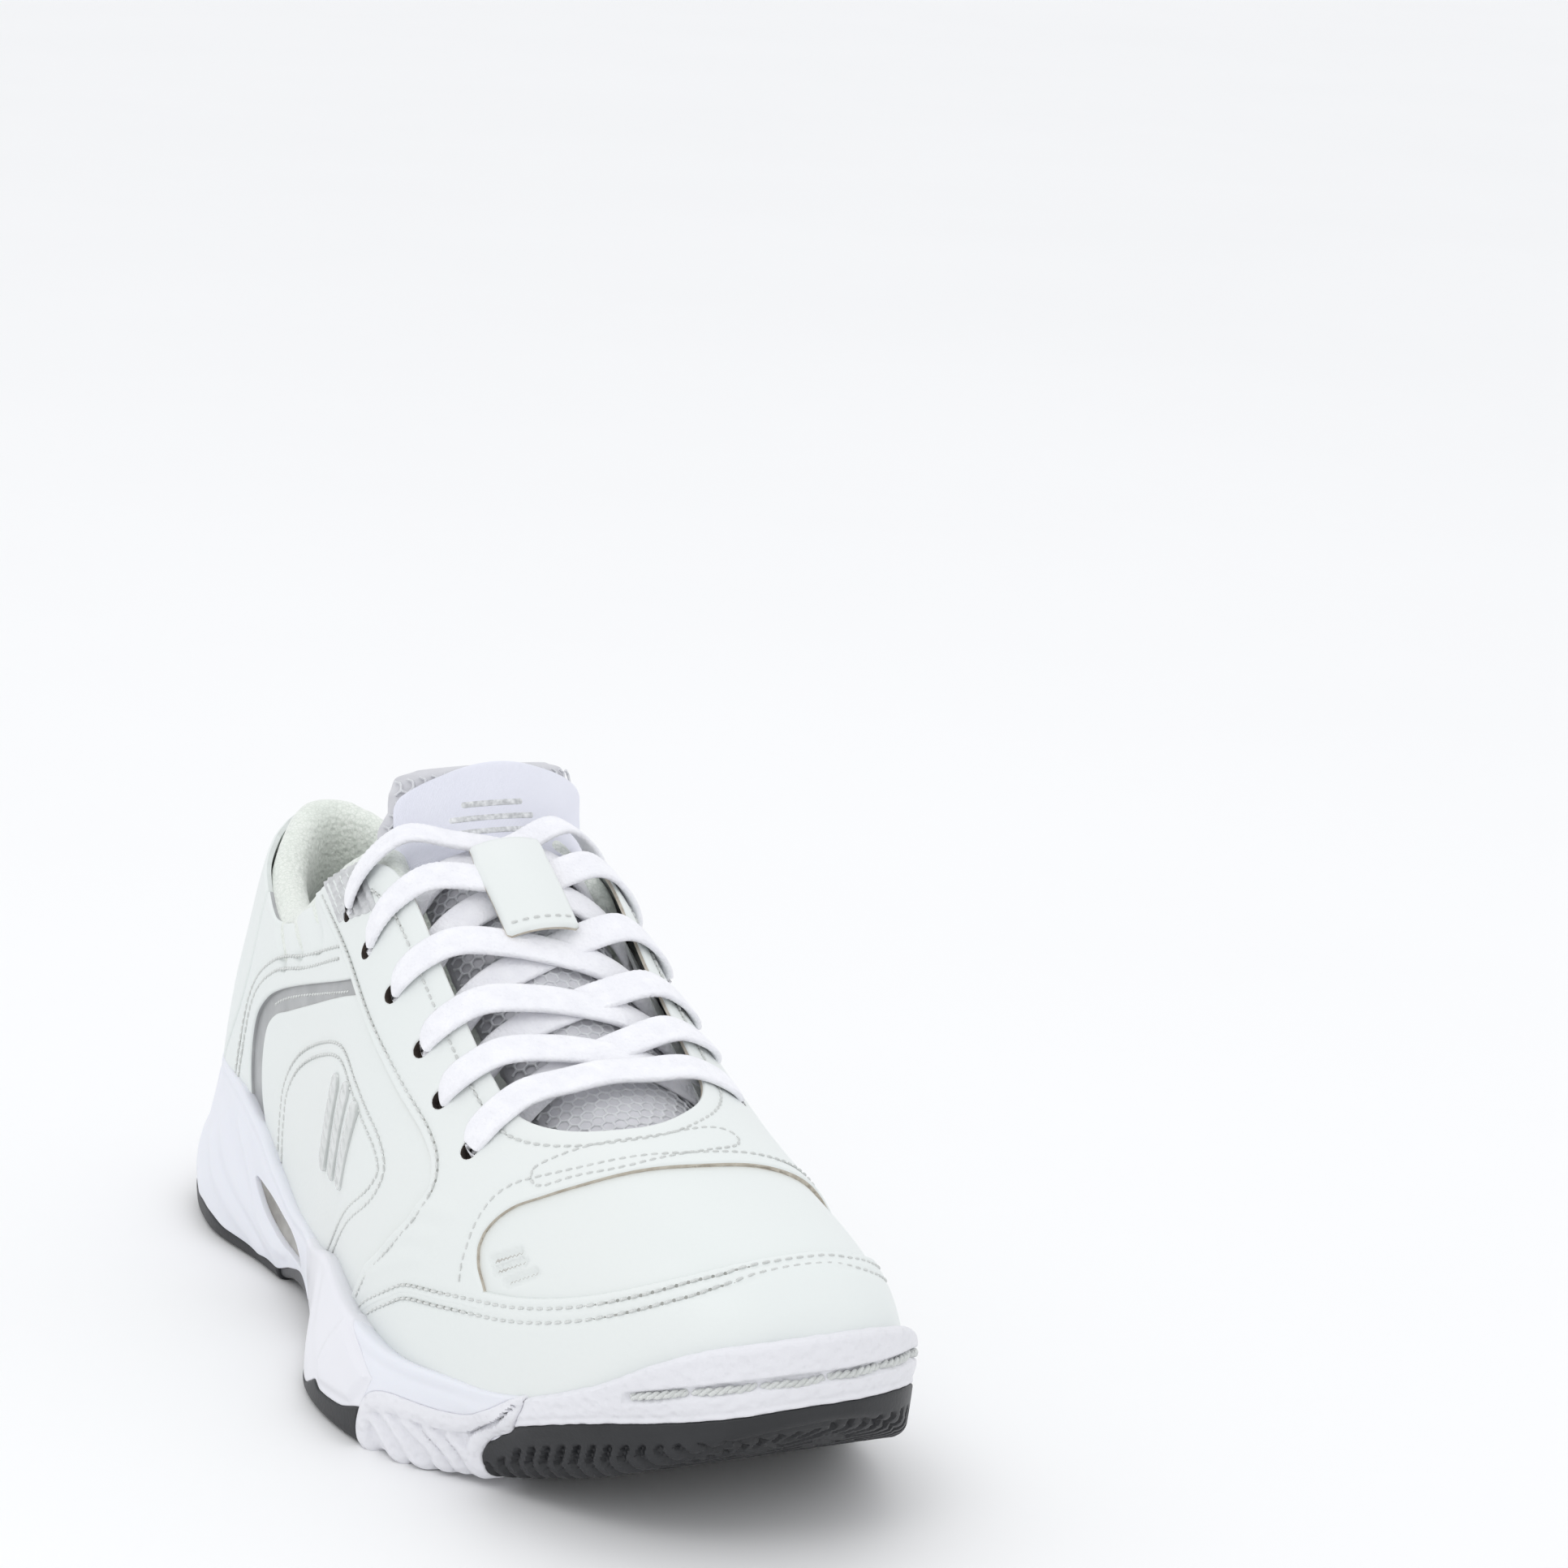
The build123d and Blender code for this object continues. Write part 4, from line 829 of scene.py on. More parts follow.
def painted_stitch_hole_shade():
    """A small dimple at every needle hole, painted dark grey as the shade in the hole and under the thread."""
    spots = np.vstack([s for s, _, _ in holes_at])
    normals = np.vstack([n for _, n, _ in holes_at])
    lifts = np.concatenate([np.full(len(s), v) for s, _, v in holes_at])
    helper = np.where(abs(normals[:, 2:3]) < 0.9, [[0, 0, 1.0]], [[1.0, 0, 0]])
    a = np.cross(normals, helper)
    a /= np.linalg.norm(a, axis=1, keepdims=True)
    b = np.cross(normals, a)
    corners = 6
    radius = 0.46
    points, faces = [], []
    for k, angle in enumerate(2 * math.pi * np.arange(corners) / corners):
        points.append(spots + normals * (lifts - 0.27)[:, None]
                      + radius * (math.cos(angle) * a + math.sin(angle) * b))
    points.append(spots + normals * (lifts - 0.21)[:, None])
    points.append(spots + normals * (lifts - 0.5)[:, None])
    block = np.stack(points, 1)
    size = corners + 2
    for s in range(len(spots)):
        for k in range(corners):
            n = (k + 1) % corners
            faces.append((s * size + k, s * size + corners, s * size + n))
            faces.append((s * size + n, s * size + corners + 1, s * size + k))
    return mesh_object("painted_stitch_hole_shade", rows(*np.moveaxis(block.reshape(-1, 3), -1, 0)), faces, [STITCH_HOLE_SHADE])


place(painted_stitch_hole_shade(), SHOE, "thread")


# ---------------------------------------------------------------- eyelets and lace
def on_skin(t, x, depth=0.0):
    """Row point, in mm, at a depth below the skin over a point of the plan, and the normal there."""
    at = skin.find("plan", 0, [(t, x)])
    p = skin.sample(skin.p, at)[0]
    n = skin.sample(skin.n, at)[0]
    n /= np.linalg.norm(n)
    p = p - n * depth
    return np.array([p[1] + FOOT_AXIS_X, HALF_LENGTH - p[0], p[2]]), np.array([n[1], -n[0], n[2]])


def ribbon(name, points, flat, width, thickness, materials, crimp=0.03, sections=18, square=0.42):
    """Flat woven strip along row points in mm; flat, width and thickness are given at each point."""
    run = np.concatenate([[0], np.cumsum(np.linalg.norm(np.diff(points, axis=0), axis=1))])
    tangent = np.gradient(points, axis=0)
    tangent /= np.linalg.norm(tangent, axis=1, keepdims=True)
    across = np.cross(flat, tangent)
    across /= np.linalg.norm(across, axis=1, keepdims=True)
    up = np.cross(tangent, across)
    angle = 2 * math.pi * np.arange(sections) / sections
    c, s = np.cos(angle), np.sin(angle)
    edge = np.abs(c) ** 6
    ripple = np.sin(2 * math.pi * run / 1.5)[:, None]
    a = (width / 2)[:, None] * np.sign(c) * np.abs(c) ** 0.85 * (1 + crimp * ripple * edge)
    b = (thickness / 2)[:, None] * np.sign(s) * np.abs(s) ** square * (1 + 0.10 * edge * ripple)
    grid = points[:, None] + a[..., None] * across[:, None] + b[..., None] * up[:, None]
    faces = []
    count = len(points)
    for i in range(count - 1):
        for j in range(sections):
            k = (j + 1) % sections
            faces.append((i * sections + j, (i + 1) * sections + j, (i + 1) * sections + k, i * sections + k))
    faces.append(tuple(range(sections)))
    faces.append(tuple((count - 1) * sections + j for j in reversed(range(sections))))
    return mesh_object(name, grid.reshape(-1, 3) * MM, faces, materials, sharp=80)


LACE_WIDTH, LACE_THICK = 8.6, 1.75
ON_LEATHER = -2.05           # depth of the lace's middle where it lies on the eyestay
TO_EYELET = [(0.80, ON_LEATHER + 0.2), (0.90, ON_LEATHER - 0.1), (0.965, ON_LEATHER + 0.25), (0.995, -0.3),
             (1.0, 2.6), (0.985, 5.2)]
CROSSING_UNDER = [(0.02, 5.8), (0.10, 4.9), (0.2, 4.7), (0.32, 4.5), (0.5, 3.6), (0.64, 1.9)]
CROSSING_TOP = [(0.02, 5.8), (0.10, 4.9), (0.2, 4.3), (0.32, 3.2), (0.5, 1.7), (0.64, 0.6)]


def strand(name, start, end, profile):
    """One stretch of lace from under the eyestay, over the tongue and into the next eyelet."""
    (t0, x0), (t1, x1) = start, end
    spots, flats = [], []
    for f, depth in profile:
        p, n = on_skin(t0 + f * (t1 - t0), x0 + f * (x1 - x0), depth)
        spots.append(p)
        flats.append(n)
    first, _ = on_skin(t0, x0)
    last, _ = on_skin(t1, x1)
    chord = (last - first) / np.linalg.norm(last - first)
    rise = np.cross(chord, np.mean(flats, axis=0))
    width_way = rise / np.linalg.norm(rise)
    line = through(spots, 0.75)
    tangent = np.gradient(line, axis=0)
    flat = np.cross(tangent, np.repeat(width_way[None], len(line), 0))
    flat /= np.linalg.norm(flat, axis=1, keepdims=True)
    flat *= np.sign((flat * np.mean(flats, axis=0)).sum(1))[:, None]
    run = np.concatenate([[0], np.cumsum(np.linalg.norm(np.diff(line, axis=0), axis=1))])
    left = run[-1] - run
    into_last = np.clip((11.0 - left) / 8.0, 0, 1)
    into_first = np.clip((11.0 - run) / 8.0, 0, 1) if profile is BAR else np.zeros(len(run))
    pinch = np.maximum(into_last, into_first)
    pinch = pinch * pinch * (3 - 2 * pinch)
    wave = 1 + 0.02 * np.sin(run / 9.0 + t0)
    width = LACE_WIDTH * wave * (1 - 0.44 * pinch)
    thick = LACE_THICK * (1 + 0.35 * pinch)
    return place(ribbon(name, line, flat, width, thick, [LACE]), SHOE, "lace_weave")


BAR = ([(1 - f, d) for f, d in reversed(TO_EYELET)] + [(0.35, 0.3), (0.5, 0.0), (0.65, 0.3)] + TO_EYELET)
lace_pieces = [strand("lace_bar", EYELETS["lateral"][0], EYELETS["medial"][0], BAR)]
for k in range(5):
    low = [(f, d + (1.0 if k == 4 else 0.0)) for f, d in CROSSING_UNDER]
    top = [(f, d + (1.0 if k == 4 else 0.0)) for f, d in CROSSING_TOP]
    raised = [(f, d - (0.7 if k == 4 and f < 1 else 0.0)) for f, d in TO_EYELET]
    lace_pieces.append(strand(f"lace_under_{k}", EYELETS["lateral"][k], EYELETS["medial"][k + 1], low + raised))
    lace_pieces.append(strand(f"lace_over_{k}", EYELETS["medial"][k], EYELETS["lateral"][k + 1], top + raised))
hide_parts("lace")


def eyelet_shade_cups():
    """Near-black cups of painted shade inside the punched eyelets, seen beside the lace."""
    points, faces = [], []
    corners = 14
    for places in EYELETS.values():
        for t, x in places:
            centre, n = on_skin(t, x)
            a = np.cross(n, [0, 0, 1.0])
            a /= np.linalg.norm(a)
            b = np.cross(n, a)
            base = len(points)
            for depth, radius in ((0.35, EYELET_RADIUS - 0.06), (2.4, EYELET_RADIUS - 0.2), (2.9, 0.05),
                                  (3.6, 0.05), (3.4, EYELET_RADIUS + 0.5), (0.35, EYELET_RADIUS + 0.6)):
                for k in range(corners):
                    angle = 2 * math.pi * k / corners
                    points.append(centre - n * (depth - 1.0)
                                  + radius * (math.cos(angle) * a + math.sin(angle) * b))
            for ring in range(6):
                for k in range(corners):
                    m = (k + 1) % corners
                    low, high = base + ring * corners, base + ((ring + 1) % 6) * corners
                    faces.append((low + k, low + m, high + m, high + k))
    return mesh_object("eyelet_shade_cups", np.array(points) * MM, faces, [EYELET_SHADE])


place(eyelet_shade_cups(), SHOE, "thermoplastic_sheet", "lateral_eyestay_backing", "medial_eyestay_backing")


# ---------------------------------------------------------------- tongue
SPINE = [(233, 5.4), (215, 5.4), (190, 5.4), (165, 5.4), (145, 5.4), (134, 5.6)]
TONGUE_TOP = [(127, 116.0), (120.5, 116.6), (116.5, 117.4), (112.5, 121.5), (108.6, 127.8), (105.6, 133.0),
              (103.9, 136.2)]
TONGUE_HALF = smooth([0, 30, 70, 100, 112, 119, 126, 133, 137.5], [17, 23, 25, 25.5, 25, 27, 30.5, 30.5, 27])
TONGUE_THICK = 8.0
TONGUE_DRIFT = 7.0           # how far the free end leans to the medial side


def tongue_spine():
    """Middle line of the tongue's outer face, from the throat's bottom to its free end, in mm."""
    spots = [on_skin(t, -1.0, depth)[0][[1, 2]] for t, depth in SPINE]
    spots = [(HALF_LENGTH - y, z) for y, z in spots] + TONGUE_TOP
    return through(spots, 0.9)


spine = tongue_spine()
spine_run = np.concatenate([[0], np.cumsum(np.linalg.norm(np.diff(spine, axis=0), axis=1))])
TONGUE_LENGTH = spine_run[-1]


def tongue_point(s, w, lift):
    """Row point in mm: s along the spine, w across (flat width), lift out of the face."""
    t = np.interp(s, spine_run, spine[:, 0])
    z = np.interp(s, spine_run, spine[:, 1])
    dt = np.interp(s, spine_run, np.gradient(spine[:, 0], spine_run))
    dz = np.interp(s, spine_run, np.gradient(spine[:, 1], spine_run))
    size = np.hypot(dt, dz)
    nt, nz = dz / size, -dt / size
    nt, nz = np.where(nz < 0, -nt, nt), np.abs(nz)
    bend = np.interp(s, [0, 60, 105, 118, TONGUE_LENGTH], [46.0, 40.0, 31.0, 46.0, 70.0])
    angle = w / bend
    inward = bend * (1 - np.cos(angle)) - lift * np.cos(angle)
    drift = np.interp(s, [TONGUE_LENGTH - 42, TONGUE_LENGTH], [0.0, TONGUE_DRIFT])
    x = (bend + lift) * np.sin(angle) + np.interp(t, [130, 230], [0, -1.5]) + drift
    return np.stack([x + FOOT_AXIS_X, HALF_LENGTH - (t - nt * inward), z - nz * inward], -1)


def edge_drop(s, w):
    """How far the padding's face falls away towards the tongue's edges."""
    u = np.clip(np.abs(w) / pad_half(s), 0, 1)
    ending = np.clip((s - (TONGUE_LENGTH - 9)) / 9, 0, 1)
    padding = np.interp(s, [0, 60, 110, TONGUE_LENGTH], [4.0, 6.0, 7.0, TONGUE_THICK])
    return padding / 2 * (1 - np.sqrt(np.clip(1 - u ** 5, 0, 1)) * np.sqrt(np.clip(1 - ending ** 4, 0, 1)))


def pad_half(s):
    """Half width of the padding, narrower where its end rounds off."""
    ending = np.clip((s - (TONGUE_LENGTH - 9)) / 9, 0, 1)
    return TONGUE_HALF(s) * (1 - 0.16 * ending ** 3)


def tongue_pad():
    """Net covered padding: a closed form, thinner at its edges, with a rolled free end."""
    along, across = 120, 41
    s = np.linspace(0, TONGUE_LENGTH, along)
    u = np.linspace(-1, 1, across)
    s_grid, u_grid = np.meshgrid(s, u, indexing="ij")
    w = pad_half(s_grid) * u_grid
    drop = edge_drop(s_grid, w)
    padding = np.interp(s_grid, [0, 60, 110, TONGUE_LENGTH], [4.0, 6.0, 7.0, TONGUE_THICK])
    top = tongue_point(s_grid, w, -PAD_SWELL - 0.8 * drop)
    low = tongue_point(s_grid, w, PAD_SWELL - padding + 0.8 * drop)
    points = np.vstack([top.reshape(-1, 3), low.reshape(-1, 3)])
    count = along * across
    faces = []
    for i in range(along - 1):
        for j in range(across - 1):
            a = i * across + j
            q = (a, a + across, a + across + 1, a + 1)
            faces.append(q)
            faces.append(tuple(count + v for v in reversed(q)))
    rim = ([i * across for i in range(along)] + [(along - 1) * across + j for j in range(1, across)]
           + [i * across + across - 1 for i in range(along - 2, -1, -1)] + [j for j in range(across - 2, 0, -1)])
    for a, b in zip(rim, rim[1:] + rim[:1]):
        faces.append((b, a, a + count, b + count))
    return mesh_object("tongue_padding", points * MM, faces, [NET_BASE, LINING],
                       [0 if max(f) < count else 1 for f in faces], sharp=80)


NET_PITCH = 3.0
PAD_SWELL = 0.35             # room left for the padding to swell in the cloth simulation, mm


def tongue_net():
    """Knitted net of six-sided meshes over the tongue's face, each thread a flat strip."""
    lines = []
    row_step = NET_PITCH * math.sqrt(3) / 2
    r = NET_PITCH / math.sqrt(3)
    for k in range(int(TONGUE_LENGTH / row_step)):
        for m in range(-12, 13):
            s0 = 3 + k * row_step
            w0 = m * NET_PITCH + (NET_PITCH / 2 if k % 2 else 0)
            if abs(w0) > 0.93 * pad_half(s0) - 0.5 or s0 > TONGUE_LENGTH - 3:
                continue
            corners = [(s0 + r * math.cos(a), w0 + r * math.sin(a))
                       for a in (math.radians(60 * c) for c in range(0, 4))]
            lines += list(zip(corners, corners[1:]))
    ends = np.array(lines)
    f = np.linspace(0, 1, 3)[None, :, None]
    run = ends[:, :1] * (1 - f) + ends[:, 1:] * f
    s, w = run[..., 0], run[..., 1]
    lift = 0.22 - edge_drop(s, w)
    points = tongue_point(s, w, lift) * MM
    above = tongue_point(s, w, lift + 1.0) * MM
    up = (above - points) / np.linalg.norm(above - points, axis=2, keepdims=True)
    return tubes("tongue_net", points, np.array([1.1, 0.85, 1.1]) * 0.36 * MM, 6, [NET], flat=up)


def strip(name, s_range, w_half, lift, thickness, materials, corner=4.0, top_round=0.0, centre=0.0, dome=0.0):
    """Flat piece sewn on the tongue: rounded rectangle in (s, w), a closed form."""
    ns, nw = 40, 25
    s0, s1 = s_range
    f = np.linspace(0, 1, ns)
    u = np.linspace(-1, 1, nw)
    ff, uu = np.meshgrid(f, u, indexing="ij")
    near = np.minimum(ff, 1 - ff) * (s1 - s0)
    half = w_half - corner * (1 - np.sqrt(np.clip(1 - (1 - np.clip(near / corner, 0, 1)) ** 2, 0, 1)))
    w = centre + uu * half
    s = s0 + ff * (s1 - s0) - top_round * ff * uu ** 2
    edge = np.clip(np.minimum((1 - np.abs(uu)) * w_half, near) / 0.8, 0, 1)
    top = tongue_point(s, w, lift + thickness * (0.55 + 0.45 * np.sqrt(edge * (2 - edge))) + dome * (1 - uu ** 2))
    low = tongue_point(s, w, lift * np.ones_like(w) + dome * (1 - uu ** 2))
    points = np.vstack([top.reshape(-1, 3), low.reshape(-1, 3)])
    count = ns * nw
    faces, kinds = [], []
    for i in range(ns - 1):
        for j in range(nw - 1):
            a = i * nw + j
            q = (a, a + nw, a + nw + 1, a + 1)
            faces += [q, tuple(count + v for v in reversed(q))]
            kinds += [0, 0]
    rim = ([i * nw for i in range(ns)] + [(ns - 1) * nw + j for j in range(1, nw)]
           + [i * nw + nw - 1 for i in range(ns - 2, -1, -1)] + [j for j in range(nw - 2, 0, -1)])
    for a, b in zip(rim, rim[1:] + rim[:1]):
        faces.append((b, a, a + count, b + count))
        kinds.append(len(materials) - 1)
    return mesh_object(name, points * MM, faces, materials, kinds, sharp=50)


pad = soften(tongue_pad(), 1.8, 0.6)
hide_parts("tongue_face", "tongue_foam", "tongue_lining", "tongue_end_foam", "tongue_end_lining")
net = tongue_net()
label = strip("tongue_label_satin", (TONGUE_LENGTH - 27, TONGUE_LENGTH - 1.0), 25.5, 0.35, 0.9, [LABEL],
              corner=6.0, top_round=5.0, centre=1.0)
prints = [strip(f"label_line_{k}", (TONGUE_LENGTH - 19.5 + 3.6 * k, TONGUE_LENGTH - 18.0 + 3.6 * k),
                14.0 - 3.0 * k, 1.05, 0.35, [SILVER_PRINT], corner=0.6) for k in range(3)]
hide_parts("tongue_label")
for piece in (pad, net, label, *prints):
    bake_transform(piece)
keeper_s = np.interp([155.5, 129.5], spine[::-1, 0], spine_run[::-1])
keeper = strip("lace_keeper_strap", sorted(keeper_s), 7.8, 6.3, 1.3, [LEATHER, CUT_EDGE], corner=0.8,
               centre=-1.5, dome=0.8)
place(keeper, SHOE, "leather", "lace_keeper")
row = -1.5 + np.arange(-5.6, 5.7, 2.24)[:, None] + np.linspace(-0.8, 0.8, 5)
row_lift = 6.3 + 1.3 + 0.8 * (1 - ((row + 1.5) / 7.8) ** 2) + np.array([-0.5, 0.05, 0.1, 0.05, -0.5])
row_at = np.full(row.shape, min(keeper_s) + 3.2)
row_points = tongue_point(row_at, row, row_lift) * MM
row_up = tongue_point(row_at, row, row_lift + 1.0) * MM - row_points
place(tubes("lace_keeper_stitches", row_points, np.array([0.2, 0.34, 0.36, 0.34, 0.2]) * MM, 8, [THREAD],
            flat=row_up / MM), SHOE, "thread")


# ---------------------------------------------------------------- the sole's skin
SOLE = [(4, 17, 17), (14, 29.5, 29.5), (42, 39.5, 39.5), (75, 38, 37), (103, 39, 36), (135, 48.5, 41),
        (160, 59.5, 45), (185, 61.5, 49.5), (207, 57.5, 51.5), (228, 46, 51.5), (252, 35, 46),
        (270, 23.5, 38), (282, 10, 28)]
RIM = [(4, 12.5, 12.5), (14, 24.5, 24.5), (42, 35.5, 35.5), (75, 38, 37), (103, 40.5, 39),
       (135, 47.5, 42.5), (160, 52.5, 46), (185, 55, 50), (207, 54.5, 51.5), (228, 50, 51.5),
       (252, 41, 48), (270, 29, 41), (282, 15, 31)]
GROUND = smooth([-20, -2, 10, 28, 84, 95, 108, 121, 131, 206, 225, 245, 262, 275, 289, 300],
                [6, 6, 2.5, 0, 0, 2.4, 3.0, 2.4, 0, 0, 2.5, 8, 14, 21, 32, 42])


UNDER_COLUMNS = 46           # of the sole's grid, from the middle of its under side to the edge


def loop(points, per):
    """Smooth closed curve through points, with per samples on every stretch between two of them."""
    p = np.asarray(points, float)
    ahead = np.roll(p, -1, 0) - p
    d = np.linalg.norm(ahead, axis=1)[:, None]
    behind, before = np.roll(ahead, 1, 0), np.roll(d, 1, 0)
    m = (ahead / d * before + behind / before * d) / (d + before)
    f = (np.arange(per) / per)[None, :, None]
    a, b = p[:, None], np.roll(p, -1, 0)[:, None]
    ma, mb = (m * d)[:, None], (np.roll(m, -1, 0) * d)[:, None]
    curve = ((2 * f ** 3 - 3 * f ** 2 + 1) * a + (f ** 3 - 2 * f ** 2 + f) * ma
             + (3 * f ** 2 - 2 * f ** 3) * b + (f ** 3 - f ** 2) * mb)
    return curve.reshape(-1, 2)


def outline(table, tip, heel_t, inset, per=34):
    """Plan outline from the heel, round the lateral side and the toe, and back."""
    t_in = [0.8 * inset if t < 20 else -0.8 * inset if t > 260 else 0 for t, _, _ in table]
    lateral = [(t + e, -(a - inset)) for (t, a, _), e in zip(table, t_in)]
    medial = [(t + e, b - inset) for (t, _, b), e in zip(table, t_in)]
    return loop([(heel_t + inset, 0)] + lateral + [(tip[0] - inset, tip[1])] + medial[::-1], per)


class Sole(Skin):
    """The cupsole's outer face: under side, rounded edge, wall and lip, as a closed-round grid."""

    def __init__(self):
        levels = [-8.0, 9.0, 32.0, 60.0]
        loops = [outline(SOLE, (288, 9), 3.0, 3.0), outline(SOLE, (288, 9), 0.0, 0.0),
                 outline(RIM, (289, 10), 1.0, 0.0), outline(RIM, (289, 10), 3.0, 1.0)]

        def wall(z):
            total = 0
            for a, (za, line) in enumerate(zip(levels, loops)):
                weight = np.ones_like(z)
                for b, zb in enumerate(levels):
                    if b != a:
                        weight = weight * (z - zb) / (za - zb)
                total = total + weight[:, None] * line
            return total

        base = loops[1]
        spine_t = np.clip(base[:, 0], 28, 262)
        centre = np.stack([spine_t, np.interp(spine_t, [0, 140, 262], [0, -3, 8])], -1)
        low, high = GROUND(base[:, 0]), SIDEWALL(base[:, 0])
        edge_radius = 2.2
        columns = []
        for f in np.linspace(0.0, 1.0, UNDER_COLUMNS + 1)[:-1]:
            foot = wall(low)
            inner = foot + (centre - foot) * edge_radius / np.linalg.norm(
                foot - centre, axis=1, keepdims=True)
            xy = centre + (inner - centre) * f
            columns.append(np.column_stack([xy, GROUND(xy[:, 0])]))
        for a in np.radians(np.linspace(0, 75, 6)):
            z = low + edge_radius * (1 - math.cos(a))
            foot = wall(z)
            pull = edge_radius * (1 - math.sin(a)) / np.linalg.norm(foot - centre, axis=1, keepdims=True)
            columns.append(np.column_stack([foot + (centre - foot) * pull, z]))
        for f in np.linspace(0.0, 1.0, 46)[1:]:
            z = low + edge_radius * 0.74 + (high - 0.9 - low - edge_radius * 0.74) * f
            columns.append(np.column_stack([wall(z), z]))
        for a, drop in ((0.35, -0.55), (1.0, -0.9), (2.0, -0.8), (4.5, 0.2), (7.0, 2.5)):
            z = high - 0.9 - drop
            foot = wall(high - 0.9)
            pull = a / np.linalg.norm(foot - centre, axis=1, keepdims=True)
            columns.append(np.column_stack([foot + (centre - foot) * pull, z]))
        grid = np.stack(columns, 1)
        grid = self.outside_upper(grid, high)
        self.p = np.concatenate([grid, grid[:1]])
        self.half = self.p.shape[0] // 2
        self.measure()

    def outside_upper(self, grid, high):
        """The wall's top moved out to where it clears the upper's face by 1.8 mm."""
        tree = KDTree(T.size // 4 + T.size)
        flat, normals = skin.p[::2, ::2].reshape(-1, 3), skin.n[::2, ::2].reshape(-1, 3)
        for k, p in enumerate(flat):
            tree.insert(p, k)
        tree.balance()
        out = np.zeros(grid.shape[:2])
        for i in range(0, len(grid), 3):
            for j in range(UNDER_COLUMNS + 6, UNDER_COLUMNS + 51, 3):
                if grid[i, j, 2] > high[i] - 8:
                    _, k, _ = tree.find(grid[i, j])
                    gap = float((grid[i, j] - flat[k]) @ normals[k])
                    out[i:i + 3, j:j + 3] = min(max(1.8 - gap, 0.0), 4.0)
        out[:, UNDER_COLUMNS + 51:] = out[:, UNDER_COLUMNS + 50:UNDER_COLUMNS + 51]
        for _ in range(25):
            out = (np.roll(out, 1, 0) + 2 * out + np.roll(out, -1, 0)) / 4
            out[:, 1:-1] = (out[:, :-2] + 2 * out[:, 1:-1] + out[:, 2:]) / 4
        heading = grid[:, UNDER_COLUMNS + 30, :2] - grid[:, UNDER_COLUMNS - 8, :2]
        heading /= np.linalg.norm(heading, axis=1, keepdims=True)
        grid[..., :2] += heading[:, None] * out[..., None]
        return grid

    def measure(self):
        du = np.gradient(np.concatenate([self.p[-2:-1], self.p, self.p[1:2]]), axis=0)
        self.du = du[1:-1]
        self.dv = np.gradient(self.p, axis=1)
        n = np.cross(self.dv, self.du)
        n /= np.linalg.norm(n, axis=2, keepdims=True) + 1e-12
        if n[self.half, 5, 2] > 0:
            n = -n
        self.n = n

    def side(self, sign):
        rows_n = self.p.shape[0]
        lateral = np.zeros(self.p.shape[:2], bool)
        lateral[:rows_n // 2] = True
        return lateral if sign < 0 else ~lateral


sole = Sole()


def by_side(lateral, medial):
    """Value along the sole from (t, value) tables of its two sides."""
    t = sole.p[..., 0]
    tables = [smooth(*zip(*table))(t) for table in (lateral, medial)]
    return np.where(sole.side(-1), *tables)


def in_wall(outline, lateral=True):
    """Signed distance from an outline given as (t, height over the ground line) on one side's wall;
    heights below zero lie on the under side, counted in from the edge."""
    d, inside = distance(sole_t, wall_height, np.vstack([outline, outline[:1]]))
    own = sole.side(-1 if lateral else 1)
    return np.where(own, sole.true(np.where(inside, -d, d)), 50.0)


sole_t, sole_x, sole_z = sole.p[..., 0], sole.p[..., 1], sole.p[..., 2]
sole_edge = sole.p[:, UNDER_COLUMNS:UNDER_COLUMNS + 1]
under_side = np.arange(sole.p.shape[1])[None, :] < UNDER_COLUMNS
wall_height = np.where(under_side, -np.linalg.norm(sole.p - sole_edge, axis=2), sole_z - GROUND(sole_edge[..., 0]))
around = np.concatenate([[0], np.cumsum(np.linalg.norm(np.diff(sole.p[:, UNDER_COLUMNS], axis=0), axis=1))])
around = np.repeat(around[:, None], sole.p.shape[1], 1)

rubber_top = by_side(
    [(-10, 11), (20, 7), (46, 5.5), (56, 3.8), (84, 3.4), (95, 6.6), (108, 9.3), (122, 6.5), (131, 3.6),
     (160, 3.2), (166, 5.5), (170, 7.2), (174, 6.0), (185, 6.6), (195, 9.3), (230, 12.0), (241, 19.0),
     (252, 23.2), (264, 27.0), (276, 30.3), (285, 33.2), (289, 35.4)],
    [(-10, 11), (20, 7), (46, 5.5), (56, 3.8), (84, 3.4), (95, 6.6), (108, 9.3), (122, 6.5), (131, 3.6),
     (160, 4.5), (185, 6.0), (205, 8.0), (225, 12.5), (240, 17.5), (255, 23.5), (270, 29.5), (281, 33.5),
     (289, 35.4)])
rubber = sole_z - rubber_top
outrigger = in_wall(through([(194.6, 0), (193.8, 4), (194.4, 8), (195.4, 11.2), (197.6, 13.8), (201.5, 15.4),
                             (207, 16.2), (213, 15.8), (219.5, 14.9), (226, 14.8), (235, 16.8), (246, 20),
                             (241.6, 12.2), (233.5, 9.7), (230.2, 6.9), (229.1, 4.5), (229.6, 1.5),
                             (230, -6), (222, -13), (206, -13), (197, -8)], closed=True))
leaf = region("side", through([(71.5, 23.2), (76.3, 18), (83, 14.2), (90.3, 11.8), (100, 10.8), (108.9, 11.6),
                               (106.5, 15.4), (101, 17.6), (94.2, 19.3), (86, 21.6), (81, 22.6)],
                              closed=True), on=sole)
leaf = np.where(under_side, 50.0, leaf)
bumper_start = 238 + 0.75 * (sole_z - 17)
bumper = np.maximum.reduce([-rubber, bumper_start - sole_t, -outrigger])
facet = in_wall(np.array([(120, 4), (121, 30), (150, 33), (173, 29), (184, 23.5), (197.5, 17), (193, 5),
                          (172, 1), (160, -2)], float))
stabiliser = np.maximum.reduce([facet, -rubber, -outrigger])
midsole = np.maximum.reduce([-rubber, -outrigger, -bumper, -facet, -leaf])
